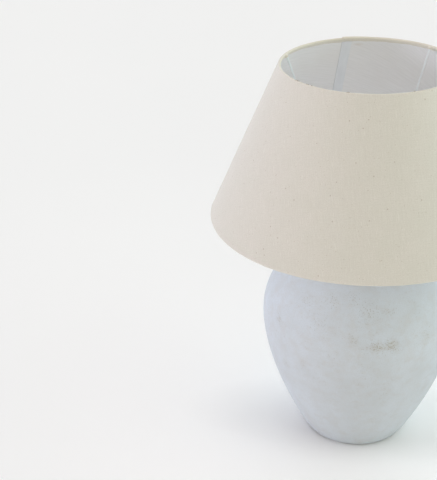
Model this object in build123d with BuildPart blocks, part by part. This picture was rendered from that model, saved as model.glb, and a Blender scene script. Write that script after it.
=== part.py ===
"""Ceramic table lamp with a tapered fabric shade.

Millimetres. The origin is on the lamp's axis, at the underside of the felt foot. +Z is up and +Y is the back,
where the mains lead enters. Four groups move: the switch bar, the shade ring, the shade and the bulb.
"""

import os
from math import asin, atan2, cos, degrees, hypot, radians, sin, sqrt, tan

from build123d import *

os.makedirs("parts", exist_ok=True)

# ---------------------------------------------------------------- driving dimensions
# Felt foot and ceramic body
felt_thickness = 2.0
felt_mouth_margin = 4.0
felt_edge_margin = 3.5
body_wall = 7.0
foot_radius = 67.2
foot_mouth_radius = 41.0
foot_edge_round = 1.5
belly_radius = 129.6
belly_height = 176.0  # above the foot
flank_flare = 8.7  # how far the flank's first handle stands out from the foot
flank_lift = 7.4  # and above it
flank_fullness = 67.0  # how far the flank's second handle hangs under the belly
shoulder_fullness = 52.9  # how far the shoulder's first handle stands over the belly
shoulder_height = 274.0  # above the foot, where the shoulder meets the neck
shoulder_reach = 59.6  # how far the shoulder's second handle stands out from the neck
neck_radius = 33.0
neck_height = 7.0
neck_root_round = 3.0
neck_rim_round = 1.5

# Lead outlet in the back of the body, with its rubber grommet
outlet_height = 26.0  # above the foot
outlet_radius = 6.5
grommet_bore_radius = 3.6
grommet_sleeve_clearance = 0.2
grommet_face_clearance = 0.15
grommet_flange_overlap = 2.5
grommet_flange_thickness = 1.8

# Hollow threaded tube and what it clamps
tube_radius = 5.0
tube_bore_radius = 3.4
tube_below_nut = 6.0
thread_clearance = 0.1
hole_clearance = 0.6
washer_side_clearance = 4.0
rubber_washer_thickness = 1.5
steel_washer_thickness = 2.0
spring_washer_width = 2.9
spring_washer_thickness = 1.6
spring_washer_gap = 2.0
nut_wall = 2.0
nut_bevel = 0.8
nut_thickness = 5.0
locknut_thickness = 4.0
gasket_edge_margin = 8.0
gasket_thickness = 1.5
cap_sheet = 1.2
cap_skirt_clearance = 0.8
cap_skirt_depth = 5.0
cap_inner_round = 1.8

# Lampholder
holder_boss_radius = 9.5
holder_boss_height = 6.0
holder_cup_height = 22.0
holder_cup_slope = 6.0
holder_cup_round = 2.0
holder_wall = 2.2
holder_cup_step = 1.25  # the cup is this much wider in radius than the threaded skirt
spigot_depth = 4.0
seat_width = 3.75
seat_thickness = 3.0
skirt_radius = 19.75
skirt_height = 32.0  # above the seat
skirt_wall = 2.2
skirt_thread_pitch = 2.5
skirt_thread_depth = 0.6
insert_gap = 0.2
block_below_seat = 6.5
block_above_seat = 3.5
screw_shell_sheet = 0.4
screw_shell_clearance = 0.5
screw_shell_below_rim = 1.5
contact_strip = 0.4
contact_width = 5.0
contact_reach = 6.0
contact_rise = 1.8
contact_gap = 0.1
terminal_inset = 6.85
terminal_width = 6.0
terminal_depth = 5.0
terminal_height = 6.0
terminal_wire_hole_radius = 1.1
terminal_screw_radius = 1.5
terminal_screw_length = 1.5
screw_head_overlap = 1.1
screw_head_height = 1.8
screw_slot_width = 0.7
screw_slot_depth = 0.8
grub_screw_radius = 1.5
grub_screw_length = 5.0
grub_screw_height = 2.6  # above the cup's underside

# Push-through switch bar
bar_radius = 2.6
bar_clearance = 0.4
bar_overhang = 5.0  # past the cup at each side in mid-travel
bar_travel = 5.0
bar_height = 12.0  # above the cup's underside
bar_end_round = 1.2

# Shade ring, which clamps the shade's fitter on the seat
ring_clearance = 0.3
ring_wall = 4.15
ring_height = 7.5
ring_flutes = 24
ring_flute_radius = 0.9
ring_edge = 0.6

# Shade
shade_bottom_radius = 200.0
shade_top_radius = 112.9
shade_height = 202.6
shade_above_seat = 7.9
fabric_thickness = 0.6
lining_thickness = 0.5
glue_gap = 0.1
hoop_wire_radius = 1.25
hem_fold = 40.0  # degrees that the hem wraps on past the hoop's innermost point
hem_tuck = 4.9  # past the hoop's middle, along the wall
seam_width = 13.5
seam_thickness = 0.35
seam_margin = 0.3
seam_direction = 109.7  # degrees about +Z, from +X
fitter_clearance = 0.85
fitter_rim = 8.4
fitter_thickness = 1.5
strut_directions = (47.0, 164.0, 284.0)  # degrees about +Z, from +X
strut_wire_radius = 1.2
strut_landing_clearance = 1.4
strut_landing = 3.0
strut_bend_radius = 2.5
weld_depth = 0.2
notch_clearance = 0.4

# Bulb
bulb_length = 108.0
bulb_radius = 30.0
bulb_wall = 1.2
bulb_cap_radius = 13.1
bulb_cap_length = 21.5
bulb_cap_sheet = 0.5
bulb_insulator_length = 3.0
bulb_tip_radius = 4.8
bulb_tip_length = 1.2
bulb_collar_radius = 26.0
bulb_collar_wall = 1.6
bulb_neck_radius = 14.4
bulb_collar_bend = 3.0

# ---------------------------------------------------------------- levels and radii that follow
foot_z = felt_thickness
belly_z = foot_z + belly_height
shoulder_z = foot_z + shoulder_height
neck_top_z = shoulder_z + neck_height
neck_plate_z = neck_top_z - body_wall
cap_z = neck_top_z + gasket_thickness
locknut_z = cap_z + cap_sheet
boss_z = locknut_z + locknut_thickness
cup_top_z = boss_z + holder_cup_height
seat_z = cup_top_z + seat_thickness
skirt_top_z = seat_z + skirt_height
fitter_top_z = seat_z + fitter_thickness
rubber_washer_z = neck_plate_z - rubber_washer_thickness
steel_washer_z = rubber_washer_z - steel_washer_thickness
spring_washer_z = steel_washer_z - spring_washer_thickness
nut_z = spring_washer_z - nut_thickness
tube_bottom_z = nut_z - tube_below_nut
tube_top_z = boss_z + holder_boss_height
block_bottom_z = seat_z - block_below_seat
block_top_z = seat_z + block_above_seat
terminal_z = block_bottom_z - terminal_height / 2
bar_z = boss_z + bar_height
grub_screw_z = boss_z + grub_screw_height
shade_bottom_z = seat_z + shade_above_seat
contact_top_z = block_top_z + screw_shell_sheet + contact_rise
bulb_tip_z = contact_top_z + contact_gap
bulb_insulator_z = bulb_tip_z + bulb_tip_length
bulb_cap_z = bulb_insulator_z + bulb_insulator_length
bulb_collar_z = bulb_cap_z + bulb_cap_length
globe_centre_z = bulb_tip_z + bulb_length - bulb_radius
bulb_rim_z = globe_centre_z - sqrt(bulb_radius**2 - bulb_collar_radius**2)

hole_radius = tube_radius + hole_clearance
thread_radius = tube_radius + thread_clearance
washer_radius = neck_radius - body_wall - washer_side_clearance
cup_radius = skirt_radius + holder_cup_step
seat_radius = skirt_radius + seat_width
block_radius = skirt_radius - skirt_wall - insert_gap
terminal_offset = block_radius - terminal_inset
shell_inner_radius = bulb_cap_radius + screw_shell_clearance
shell_outer_radius = shell_inner_radius + screw_shell_sheet
ring_inner_radius = skirt_radius + ring_clearance
ring_outer_radius = ring_inner_radius + ring_wall
fitter_inner_radius = skirt_radius + fitter_clearance
fitter_outer_radius = fitter_inner_radius + fitter_rim

pieces = {}


def flat_ring(z, inner_radius, outer_radius, thickness):
    """A plain flat ring with its underside at z."""
    with BuildPart() as ring:
        with BuildSketch(Plane.XY.offset(z)):
            Circle(outer_radius)
            Circle(inner_radius, mode=Mode.SUBTRACT)
        extrude(amount=thickness)
    return ring


def hexagon_nut(z, thickness):
    """A hexagon nut for the threaded tube, with its corners bevelled and its underside at z."""
    flat_radius = thread_radius + nut_wall
    corner_radius = flat_radius / cos(radians(30))
    with BuildPart() as nut:
        with BuildSketch(Plane.XY.offset(z)):
            RegularPolygon(flat_radius, 6, major_radius=False)
        extrude(amount=thickness)
        with BuildSketch(Plane.XZ, mode=Mode.PRIVATE) as blank:
            with BuildLine():
                Polyline(
                    (0, z),
                    (corner_radius - nut_bevel, z),
                    (corner_radius, z + nut_bevel / 2),
                    (corner_radius, z + thickness - nut_bevel / 2),
                    (corner_radius - nut_bevel, z + thickness),
                    (0, z + thickness),
                    close=True,
                )
            make_face()
        revolve(blank.sketch, axis=Axis.Z, mode=Mode.INTERSECT)
        with BuildSketch(Plane.XY.offset(z)):
            Circle(thread_radius)
        extrude(amount=thickness, mode=Mode.SUBTRACT)
    return nut


def turned(*section):
    """A solid turned about the lamp's axis from a closed section of (radius, height) points."""
    with BuildPart() as turning:
        with BuildSketch(Plane.XZ):
            with BuildLine():
                Polyline(*section, close=True)
            make_face()
        revolve(axis=Axis.Z)
    return turning


def round_edge(piece, radius, place, amount):
    """Rounds one circular edge of a turned piece: of those with this radius, the one at this place up."""
    circles = piece.edges().filter_by(GeomType.CIRCLE)
    matching = circles.filter_by(lambda edge: abs(edge.radius - radius) < 0.01).sort_by(Axis.Z)
    fillet(matching[place], radius=amount)


# ---------------------------------------------------------------- felt foot
pieces["felt_ring"] = flat_ring(
    0, foot_mouth_radius + felt_mouth_margin, foot_radius - felt_edge_margin, felt_thickness
)

# ---------------------------------------------------------------- ceramic body
# The outline is two curves that meet at the belly, where both are upright. The flank leaves the foot at a
# slant, and the shoulder arrives level at the root of the neck.
with BuildLine() as outline:
    flank = Bezier(
        (foot_radius, foot_z),
        (foot_radius + flank_flare, foot_z + flank_lift),
        (belly_radius, belly_z - flank_fullness),
        (belly_radius, belly_z),
    )
    shoulder = Bezier(
        (belly_radius, belly_z),
        (belly_radius, belly_z + shoulder_fullness),
        (neck_radius + shoulder_reach, shoulder_z),
        (neck_radius, shoulder_z),
    )


def inside(curve, share):
    """The point one wall inside a curve of the outline, at a share of the curve's length."""
    return curve @ share + (curve % share).rotate(Axis.Z, 90) * body_wall


# The inner outline keeps one wall inside the outer one, and meets the floor where its slant takes it there.
floor_z = foot_z + body_wall
flank_foot = inside(flank, 0)
flank_slope = flank % 0
floor_corner = flank_foot + flank_slope * ((floor_z - flank_foot.Y) / flank_slope.Y)
shares = [step / 8 for step in range(1, 9)]
inner_points = [floor_corner]
inner_points += [inside(flank, share) for share in shares]
inner_points += [inside(shoulder, share) for share in shares]

# The lead's outlet goes square through the flank at the back. The share of the flank at which it reaches the
# outlet's height is found by halving.
below, above = 0.0, 1.0
for _ in range(40):
    outlet_share = (below + above) / 2
    if (flank @ outlet_share).Y < foot_z + outlet_height:
        below = outlet_share
    else:
        above = outlet_share
outlet_point = flank @ outlet_share
outlet_slope = flank % outlet_share
outlet_lean = atan2(outlet_slope.X, outlet_slope.Y)
outlet_plane = Plane(
    origin=(0, outlet_point.X, outlet_point.Y),
    x_dir=(1, 0, 0),
    z_dir=(0, cos(outlet_lean), -sin(outlet_lean)),
)
with BuildPart() as ceramic_body:
    with BuildSketch(Plane.XZ) as body_section:
        with BuildLine():
            add(outline.line)
            Line((neck_radius, shoulder_z), (neck_radius, neck_top_z))
            Line((neck_radius, neck_top_z), (hole_radius, neck_top_z))
            Line((hole_radius, neck_top_z), (hole_radius, neck_plate_z))
            Line((hole_radius, neck_plate_z), (neck_radius - body_wall, neck_plate_z))
            RadiusArc((neck_radius - body_wall, neck_plate_z), inner_points[-1], body_wall)
            Spline(*inner_points, tangents=[flank_slope, shoulder % 1])
            Line(floor_corner, (foot_mouth_radius, floor_z))
            Line((foot_mouth_radius, floor_z), (foot_mouth_radius, foot_z))
            Line((foot_mouth_radius, foot_z), (foot_radius, foot_z))
        make_face()
        fillet(body_section.vertices().sort_by_distance((foot_radius, foot_z))[0], radius=foot_edge_round)
        fillet(body_section.vertices().sort_by_distance((neck_radius, shoulder_z))[0], radius=neck_root_round)
        fillet(body_section.vertices().sort_by_distance((neck_radius, neck_top_z))[0], radius=neck_rim_round)
    revolve(axis=Axis.Z)
    with BuildSketch(outlet_plane):
        Circle(outlet_radius)
    extrude(amount=2 * body_wall, both=True, mode=Mode.SUBTRACT)
pieces["ceramic_body"] = ceramic_body

# Rubber grommet: a sleeve through the wall with a flange on each side. The inner flange stands clear of the
# curved wall by the depth that the curve takes across it.
flange_radius = outlet_radius + grommet_flange_overlap
wall_sag = flange_radius**2 / (2 * outlet_point.X)
inner_flange_depth = body_wall + wall_sag + 4 * grommet_face_clearance
with BuildPart() as cable_grommet:
    with BuildSketch(outlet_plane.offset(grommet_face_clearance)):
        Circle(flange_radius)
    extrude(amount=grommet_flange_thickness)
    flange_edges = cable_grommet.edges().sort_by(Axis(outlet_plane.origin, outlet_plane.z_dir))
    fillet(flange_edges[-1], radius=grommet_flange_thickness / 2)
    with BuildSketch(outlet_plane.offset(grommet_face_clearance)):
        Circle(outlet_radius - grommet_sleeve_clearance)
    extrude(amount=-inner_flange_depth - grommet_face_clearance)
    with BuildSketch(outlet_plane.offset(-inner_flange_depth)):
        Circle(flange_radius)
    extrude(amount=-grommet_flange_thickness)
    with BuildSketch(outlet_plane):
        Circle(grommet_bore_radius)
    extrude(amount=3 * body_wall, both=True, mode=Mode.SUBTRACT)
pieces["cable_grommet"] = cable_grommet

# ---------------------------------------------------------------- threaded tube and what it clamps
pieces["threaded_tube"] = flat_ring(tube_bottom_z, tube_bore_radius, tube_radius, tube_top_z - tube_bottom_z)
pieces["inner_nut"] = hexagon_nut(nut_z, nut_thickness)
pieces["inner_rubber_washer"] = flat_ring(rubber_washer_z, hole_radius, washer_radius, rubber_washer_thickness)
pieces["inner_steel_washer"] = flat_ring(steel_washer_z, hole_radius, washer_radius, steel_washer_thickness)

with BuildPart() as inner_spring_washer:
    with BuildSketch(Plane.XY.offset(spring_washer_z)):
        Circle(hole_radius + spring_washer_width)
        Circle(hole_radius, mode=Mode.SUBTRACT)
        with Locations((hole_radius + spring_washer_width, 0)):
            Rectangle(3 * spring_washer_width, spring_washer_gap, mode=Mode.SUBTRACT)
    extrude(amount=spring_washer_thickness)
pieces["inner_spring_washer"] = inner_spring_washer

pieces["neck_gasket"] = flat_ring(neck_top_z, hole_radius, neck_radius - gasket_edge_margin, gasket_thickness)

# Spun metal cap over the neck: a disc whose skirt goes down round the neck's rim.
cap_inner_radius = neck_radius + cap_skirt_clearance
cap_outer_radius = cap_inner_radius + cap_sheet
cap_blank = turned(
    (hole_radius, cap_z),
    (cap_inner_radius, cap_z),
    (cap_inner_radius, cap_z - cap_skirt_depth),
    (cap_outer_radius, cap_z - cap_skirt_depth),
    (cap_outer_radius, cap_z + cap_sheet),
    (hole_radius, cap_z + cap_sheet),
)
with BuildPart() as neck_cap:
    add(cap_blank.part)
    round_edge(neck_cap, cap_outer_radius, -1, cap_inner_round + cap_sheet)
    round_edge(neck_cap, cap_inner_radius, -1, cap_inner_round)
pieces["neck_cap"] = neck_cap
pieces["cap_locknut"] = hexagon_nut(locknut_z, locknut_thickness)

# ---------------------------------------------------------------- lampholder
# Cup: a cone and a wall over the boss that screws on the tube, with a hole on each side for the switch bar.
cup_blank = turned(
    (thread_radius, boss_z),
    (holder_boss_radius, boss_z),
    (cup_radius, boss_z + holder_cup_slope),
    (cup_radius, cup_top_z),
    (cup_radius - holder_wall, cup_top_z),
    (cup_radius - holder_wall, boss_z + holder_cup_slope + holder_wall),
    (holder_boss_radius, boss_z + holder_boss_height),
    (thread_radius, boss_z + holder_boss_height),
)
with BuildPart() as holder_cup:
    add(cup_blank.part)
    round_edge(holder_cup, cup_radius, 0, holder_cup_round)
    with BuildSketch(Plane.YZ):
        with Locations((0, bar_z)):
            Circle(bar_radius + bar_clearance)
    extrude(amount=2 * cup_radius, both=True, mode=Mode.SUBTRACT)
    with BuildSketch(Plane.XZ):
        with Locations((0, grub_screw_z)):
            Circle(grub_screw_radius + thread_clearance)
    extrude(amount=cup_radius, mode=Mode.SUBTRACT)
pieces["holder_cup"] = holder_cup

grub_screw_start = tube_radius + insert_gap
with BuildPart() as holder_grub_screw:
    with BuildSketch(Plane.XZ.offset(grub_screw_start)):
        with Locations((0, grub_screw_z)):
            Circle(grub_screw_radius)
    extrude(amount=grub_screw_length)
    with BuildSketch(Plane.XZ.offset(grub_screw_start + grub_screw_length)):
        with Locations((0, grub_screw_z)):
            Rectangle(3 * grub_screw_radius, screw_slot_width)
    extrude(amount=-screw_slot_depth, mode=Mode.SUBTRACT)
pieces["holder_grub_screw"] = holder_grub_screw

# Threaded skirt: a barrel whose flange is the shade's seat, with a spigot that goes into the cup. Ring grooves
# stand for its thread.
skirt_inner_radius = skirt_radius - skirt_wall
spigot_radius = cup_radius - holder_wall - thread_clearance
groove_count = int((skirt_height - 2 * skirt_thread_pitch) / skirt_thread_pitch)
skirt_blank = turned(
    (skirt_inner_radius, cup_top_z - spigot_depth),
    (spigot_radius, cup_top_z - spigot_depth),
    (spigot_radius, cup_top_z),
    (seat_radius, cup_top_z),
    (seat_radius, seat_z),
    (skirt_radius, seat_z),
    (skirt_radius, skirt_top_z),
    (skirt_inner_radius, skirt_top_z),
)
with BuildPart() as holder_skirt:
    add(skirt_blank.part)
    with BuildSketch(Plane.XZ):
        for level in range(groove_count):
            groove_z = skirt_top_z - (level + 1) * skirt_thread_pitch
            with BuildLine():
                Polyline(
                    (skirt_radius + skirt_thread_depth, groove_z - 2 * skirt_thread_depth),
                    (skirt_radius - skirt_thread_depth, groove_z),
                    (skirt_radius + skirt_thread_depth, groove_z + 2 * skirt_thread_depth),
                    close=True,
                )
            make_face()
    revolve(axis=Axis.Z, mode=Mode.SUBTRACT)
pieces["holder_skirt"] = holder_skirt

# Steatite block inside the skirt, over the switch bar. Two pockets below hold the terminals, and are open
# towards the rim for their screws.
terminal_places = [(0, terminal_offset), (0, -terminal_offset)]
pocket_start = terminal_offset - terminal_depth / 2 - insert_gap
pocket_middle = (pocket_start + block_radius) / 2
with BuildPart() as contact_block:
    with BuildSketch(Plane.XY.offset(block_bottom_z)):
        Circle(block_radius)
    extrude(amount=block_top_z - block_bottom_z)
    with BuildSketch(Plane.XY.offset(block_bottom_z)):
        with Locations((0, pocket_middle), (0, -pocket_middle)):
            Rectangle(terminal_width + 2 * insert_gap, block_radius - pocket_start)
    extrude(amount=terminal_height / 2, mode=Mode.SUBTRACT)
pieces["contact_block"] = contact_block

contact_opening_radius = hypot(contact_reach, contact_width / 2) + 1
pieces["screw_shell"] = turned(
    (contact_opening_radius, block_top_z),
    (shell_outer_radius, block_top_z),
    (shell_outer_radius, skirt_top_z - screw_shell_below_rim),
    (shell_inner_radius, skirt_top_z - screw_shell_below_rim),
    (shell_inner_radius, block_top_z + screw_shell_sheet),
    (contact_opening_radius, block_top_z + screw_shell_sheet),
)

# Springy centre contact: a strip fixed flat on the block that rises to just under the bulb's tip.
with BuildPart() as centre_contact:
    with BuildSketch(Plane.XZ):
        with BuildLine():
            Polyline(
                (-contact_reach, block_top_z),
                (-contact_reach / 2, block_top_z),
                (-contact_reach / 4, contact_top_z - contact_strip),
                (contact_reach / 2, contact_top_z - contact_strip),
                (contact_reach / 2, contact_top_z),
                (-contact_reach / 4 - contact_strip, contact_top_z),
                (-contact_reach / 2 - contact_strip, block_top_z + contact_strip),
                (-contact_reach, block_top_z + contact_strip),
                close=True,
            )
        make_face()
    extrude(amount=contact_width / 2, both=True)
pieces["centre_contact"] = centre_contact

# Brass terminals, half sunk in the block, each with an upright hole for its wire and a screw facing outwards.
terminal_screw_z = terminal_z + terminal_height / 4
with BuildPart() as terminals:
    with BuildSketch(Plane.XY.offset(terminal_z)):
        with Locations(*terminal_places):
            Rectangle(terminal_width, terminal_depth)
            Circle(terminal_wire_hole_radius, mode=Mode.SUBTRACT)
    extrude(amount=terminal_height)
    for side in (1, -1):
        with BuildSketch(Plane(origin=(0, side * terminal_offset, terminal_screw_z), z_dir=(0, side, 0))):
            Circle(terminal_screw_radius + thread_clearance)
        extrude(amount=terminal_depth, mode=Mode.SUBTRACT)
pieces["terminals"] = terminals

with BuildPart() as terminal_screws:
    for side in (1, -1):
        face_y = side * (terminal_offset + terminal_depth / 2)
        face = Plane(origin=(0, face_y, terminal_screw_z), x_dir=(1, 0, 0), z_dir=(0, side, 0))
        with BuildSketch(face):
            Circle(terminal_screw_radius)
        extrude(amount=-terminal_screw_length)
        with BuildSketch(face):
            Circle(terminal_screw_radius + screw_head_overlap)
        extrude(amount=screw_head_height)
        with BuildSketch(face.offset(screw_head_height)):
            Rectangle(3 * terminal_screw_radius + 3 * screw_head_overlap, screw_slot_width)
        extrude(amount=-screw_slot_depth, mode=Mode.SUBTRACT)
pieces["terminal_screws"] = terminal_screws

# ---------------------------------------------------------------- switch bar
# At rest the bar is fully towards -X. Pushing that end moves it by its travel towards +X.
bar_half_length = cup_radius + bar_overhang
with BuildPart() as switch_bar:
    with BuildSketch(Plane.YZ.offset(-bar_half_length - bar_travel / 2)):
        with Locations((0, bar_z)):
            Circle(bar_radius)
    extrude(amount=2 * bar_half_length)
    fillet(switch_bar.edges().filter_by(GeomType.CIRCLE), radius=bar_end_round)
pieces["switch_bar"] = switch_bar

# ---------------------------------------------------------------- shade ring
ring_blank = turned(
    (ring_inner_radius, fitter_top_z),
    (ring_outer_radius - ring_edge, fitter_top_z),
    (ring_outer_radius, fitter_top_z + ring_edge),
    (ring_outer_radius, fitter_top_z + ring_height - ring_edge),
    (ring_outer_radius - ring_edge, fitter_top_z + ring_height),
    (ring_inner_radius, fitter_top_z + ring_height),
)
with BuildPart() as shade_ring:
    add(ring_blank.part)
    with BuildSketch(Plane.XY.offset(fitter_top_z)):
        with PolarLocations(ring_outer_radius + ring_flute_radius / 2, ring_flutes):
            Circle(ring_flute_radius)
    extrude(amount=ring_height, mode=Mode.SUBTRACT)
pieces["shade_ring"] = shade_ring

# ---------------------------------------------------------------- shade
# The wall's section is drawn on a plane whose X runs up the slanting wall from the lower edge and whose Y runs
# inwards from the fabric's outer face.
slant = hypot(shade_height, shade_bottom_radius - shade_top_radius)
wall_up = Vector((shade_top_radius - shade_bottom_radius) / slant, 0, shade_height / slant)
wall_plane = Plane(origin=(shade_bottom_radius, 0, shade_bottom_z), x_dir=wall_up, z_dir=(0, -1, 0))
middle = slant / 2
hem_radius = hoop_wire_radius + glue_gap + fabric_thickness
hem_inner_radius = hem_radius - fabric_thickness
lining_face = fabric_thickness + glue_gap
lining_start = hem_radius + hem_inner_radius
tuck_front = lining_face + lining_thickness + glue_gap
tuck_back = tuck_front + fabric_thickness
tuck_end = hem_radius + hem_tuck
top_hoop_centre = wall_plane.from_local_coords((slant - hem_radius, hem_radius, 0))
bottom_hoop_centre = wall_plane.from_local_coords((hem_radius, hem_radius, 0))

# Fabric: one sheet whose edges are rolled round the hoops and tucked against the lining. The top hem is
# notched where the struts reach the hoop.
fold_x, fold_y = sin(radians(hem_fold)), cos(radians(hem_fold))
outer_fold = (hem_radius + hem_radius * fold_x, hem_radius + hem_radius * fold_y)
inner_fold = (hem_radius + hem_inner_radius * fold_x, hem_radius + hem_inner_radius * fold_y)
outer_bend = outer_fold[0] + (outer_fold[1] - tuck_back) / tan(radians(hem_fold))
inner_bend = inner_fold[0] + (inner_fold[1] - tuck_front) / tan(radians(hem_fold))
notch_width = 2 * (strut_wire_radius + notch_clearance)
notch_depth = 2 * hem_radius
with BuildPart() as shade_fabric:
    with BuildSketch(wall_plane):
        with BuildLine():
            Line((middle, 0), (hem_radius, 0))
            ThreePointArc((hem_radius, 0), (0, hem_radius), outer_fold)
            Line(outer_fold, (outer_bend, tuck_back))
            Line((outer_bend, tuck_back), (tuck_end, tuck_back))
            Line((tuck_end, tuck_back), (tuck_end, tuck_front))
            Line((tuck_end, tuck_front), (inner_bend, tuck_front))
            Line((inner_bend, tuck_front), inner_fold)
            ThreePointArc(inner_fold, (fabric_thickness, hem_radius), (hem_radius, fabric_thickness))
            Line((hem_radius, fabric_thickness), (middle, fabric_thickness))
            Line((middle, fabric_thickness), (middle, 0))
        make_face()
        mirror(about=Plane.YZ.offset(middle))
    revolve(axis=Axis.Z)
    with BuildSketch(Plane.XY.offset(top_hoop_centre.Z - notch_width)):
        for direction in strut_directions:
            with PolarLocations(top_hoop_centre.X - notch_depth / 2, 1, start_angle=direction):
                Rectangle(notch_depth, notch_width)
    extrude(amount=1.5 * notch_width, mode=Mode.SUBTRACT)
pieces["shade_fabric"] = shade_fabric

# Lining: a thin cone glued behind the fabric, from hoop to hoop.
with BuildPart() as shade_lining:
    with BuildSketch(wall_plane):
        with Locations((middle, lining_face + lining_thickness / 2)):
            Rectangle(slant - 2 * lining_start, lining_thickness)
    revolve(axis=Axis.Z)
pieces["shade_lining"] = shade_lining

# Tape over the lining's seam. One long edge lies in the plane through the axis at the seam's direction.
seam_out = Vector(cos(radians(seam_direction)), sin(radians(seam_direction)), 0)
seam_across = Vector(seam_out.Y, -seam_out.X, 0)
seam_plane = Plane(origin=(0, 0, shade_bottom_z), x_dir=seam_out, z_dir=seam_across)
with BuildPart() as lining_seam_tape:
    with BuildSketch(wall_plane):
        with Locations((middle, tuck_front + seam_thickness / 2)):
            Rectangle(slant - 2 * tuck_end - 2 * seam_margin, seam_thickness)
    revolve(axis=Axis.Z)
    with BuildSketch(seam_plane):
        with Locations((shade_bottom_radius / 2, shade_height / 2)):
            Rectangle(shade_bottom_radius, 2 * shade_height)
    extrude(amount=seam_width, mode=Mode.INTERSECT)
pieces["lining_seam_tape"] = lining_seam_tape


def hoop(centre):
    """A wire ring about the lamp's axis, with its wire through this centre."""
    with BuildPart() as wire_ring:
        with BuildSketch(Plane.XZ):
            with Locations((centre.X, centre.Z)):
                Circle(hoop_wire_radius)
        revolve(axis=Axis.Z)
    return wire_ring


pieces["top_hoop"] = hoop(top_hoop_centre)
pieces["bottom_hoop"] = hoop(bottom_hoop_centre)

pieces["fitter_ring"] = flat_ring(seat_z, fitter_inner_radius, fitter_outer_radius, fitter_thickness)

# Struts: straight wires from the top hoop down to the fitter, where a short bent foot is welded flat.
strut_top = Vector(top_hoop_centre.X - hoop_wire_radius - strut_wire_radius + weld_depth, 0, top_hoop_centre.Z)
strut_foot_z = fitter_top_z + strut_wire_radius - weld_depth
strut_tip = Vector(ring_outer_radius + strut_landing_clearance, 0, strut_foot_z)
strut_knee = Vector(strut_tip.X + strut_landing, 0, strut_foot_z)
for number, turn in enumerate(strut_directions):
    with BuildPart() as strut:
        with BuildLine() as route:
            FilletPolyline(
                strut_tip.rotate(Axis.Z, turn),
                strut_knee.rotate(Axis.Z, turn),
                strut_top.rotate(Axis.Z, turn),
                radius=strut_bend_radius,
            )
        with BuildSketch(Plane(origin=route.line @ 0, z_dir=route.line % 0)):
            Circle(strut_wire_radius)
        sweep()
        add(pieces["top_hoop"].part, mode=Mode.SUBTRACT)
        add(pieces["fitter_ring"].part, mode=Mode.SUBTRACT)
    pieces[f"strut_{number + 1}"] = strut

# ---------------------------------------------------------------- bulb
with BuildPart() as bulb_tip:
    with BuildSketch(Plane.XY.offset(bulb_tip_z)):
        Circle(bulb_tip_radius)
    extrude(amount=bulb_tip_length)
    fillet(bulb_tip.edges().sort_by(Axis.Z)[0], radius=bulb_tip_length / 2)
pieces["bulb_tip"] = bulb_tip

pieces["bulb_insulator"] = turned(
    (0, bulb_insulator_z),
    (bulb_tip_radius + 1, bulb_insulator_z),
    (bulb_cap_radius - bulb_cap_sheet / 2, bulb_cap_z),
    (0, bulb_cap_z),
)

pieces["bulb_cap"] = turned(
    (bulb_cap_radius - bulb_cap_sheet, bulb_cap_z),
    (bulb_cap_radius, bulb_cap_z),
    (bulb_cap_radius, bulb_collar_z),
    (bulb_cap_radius - bulb_cap_sheet, bulb_collar_z),
)

# Collar: a hollow cup that widens from the cap to the globe. It starts inside the skirt's mouth, and clears it.
collar_start_radius = min(bulb_neck_radius, skirt_inner_radius - insert_gap)
collar_waist_z = (bulb_collar_z + bulb_rim_z) / 2
with BuildPart() as bulb_collar:
    with BuildSketch(Plane.XZ):
        with BuildLine():
            outer_curve = Bezier(
                (collar_start_radius, bulb_collar_z),
                (collar_start_radius + bulb_collar_bend, collar_waist_z),
                (bulb_collar_radius - bulb_collar_bend, collar_waist_z),
                (bulb_collar_radius, bulb_rim_z),
            )
            inner_curve = Bezier(
                (collar_start_radius - bulb_collar_wall, bulb_collar_z),
                (collar_start_radius - bulb_collar_wall + bulb_collar_bend, collar_waist_z),
                (bulb_collar_radius - bulb_collar_wall - bulb_collar_bend, collar_waist_z),
                (bulb_collar_radius - bulb_collar_wall, bulb_rim_z),
            )
            Line(outer_curve @ 0, inner_curve @ 0)
            Line(outer_curve @ 1, inner_curve @ 1)
        make_face()
    revolve(axis=Axis.Z)
pieces["bulb_collar"] = bulb_collar

# Globe: a thin ball, cut off level where it stands on the collar's rim.
globe_inner_radius = bulb_radius - bulb_wall
rim_depth = globe_centre_z - bulb_rim_z
with BuildPart() as bulb_globe:
    with BuildSketch(Plane.XZ):
        with BuildLine():
            outer_start = -degrees(asin(rim_depth / bulb_radius))
            inner_start = -degrees(asin(rim_depth / globe_inner_radius))
            outer_arc = CenterArc((0, globe_centre_z), bulb_radius, outer_start, 90 - outer_start)
            inner_arc = CenterArc((0, globe_centre_z), globe_inner_radius, inner_start, 90 - inner_start)
            Line(outer_arc @ 0, inner_arc @ 0)
            Line(outer_arc @ 1, inner_arc @ 1)
        make_face()
    revolve(axis=Axis.Z)
pieces["bulb_globe"] = bulb_globe

# ---------------------------------------------------------------- files
for name, piece in pieces.items():
    piece.part.label = name
    export_step(piece.part, f"parts/{name}.step")
print("lead outlet at", outlet_plane.origin, "facing", outlet_plane.z_dir)
print("lead outlet leans by", round(degrees(outlet_lean), 2))
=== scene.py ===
from math import cos, radians, sin, tau

import bmesh
import bpy
import numpy as np
from mathutils import Matrix, Vector


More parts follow.
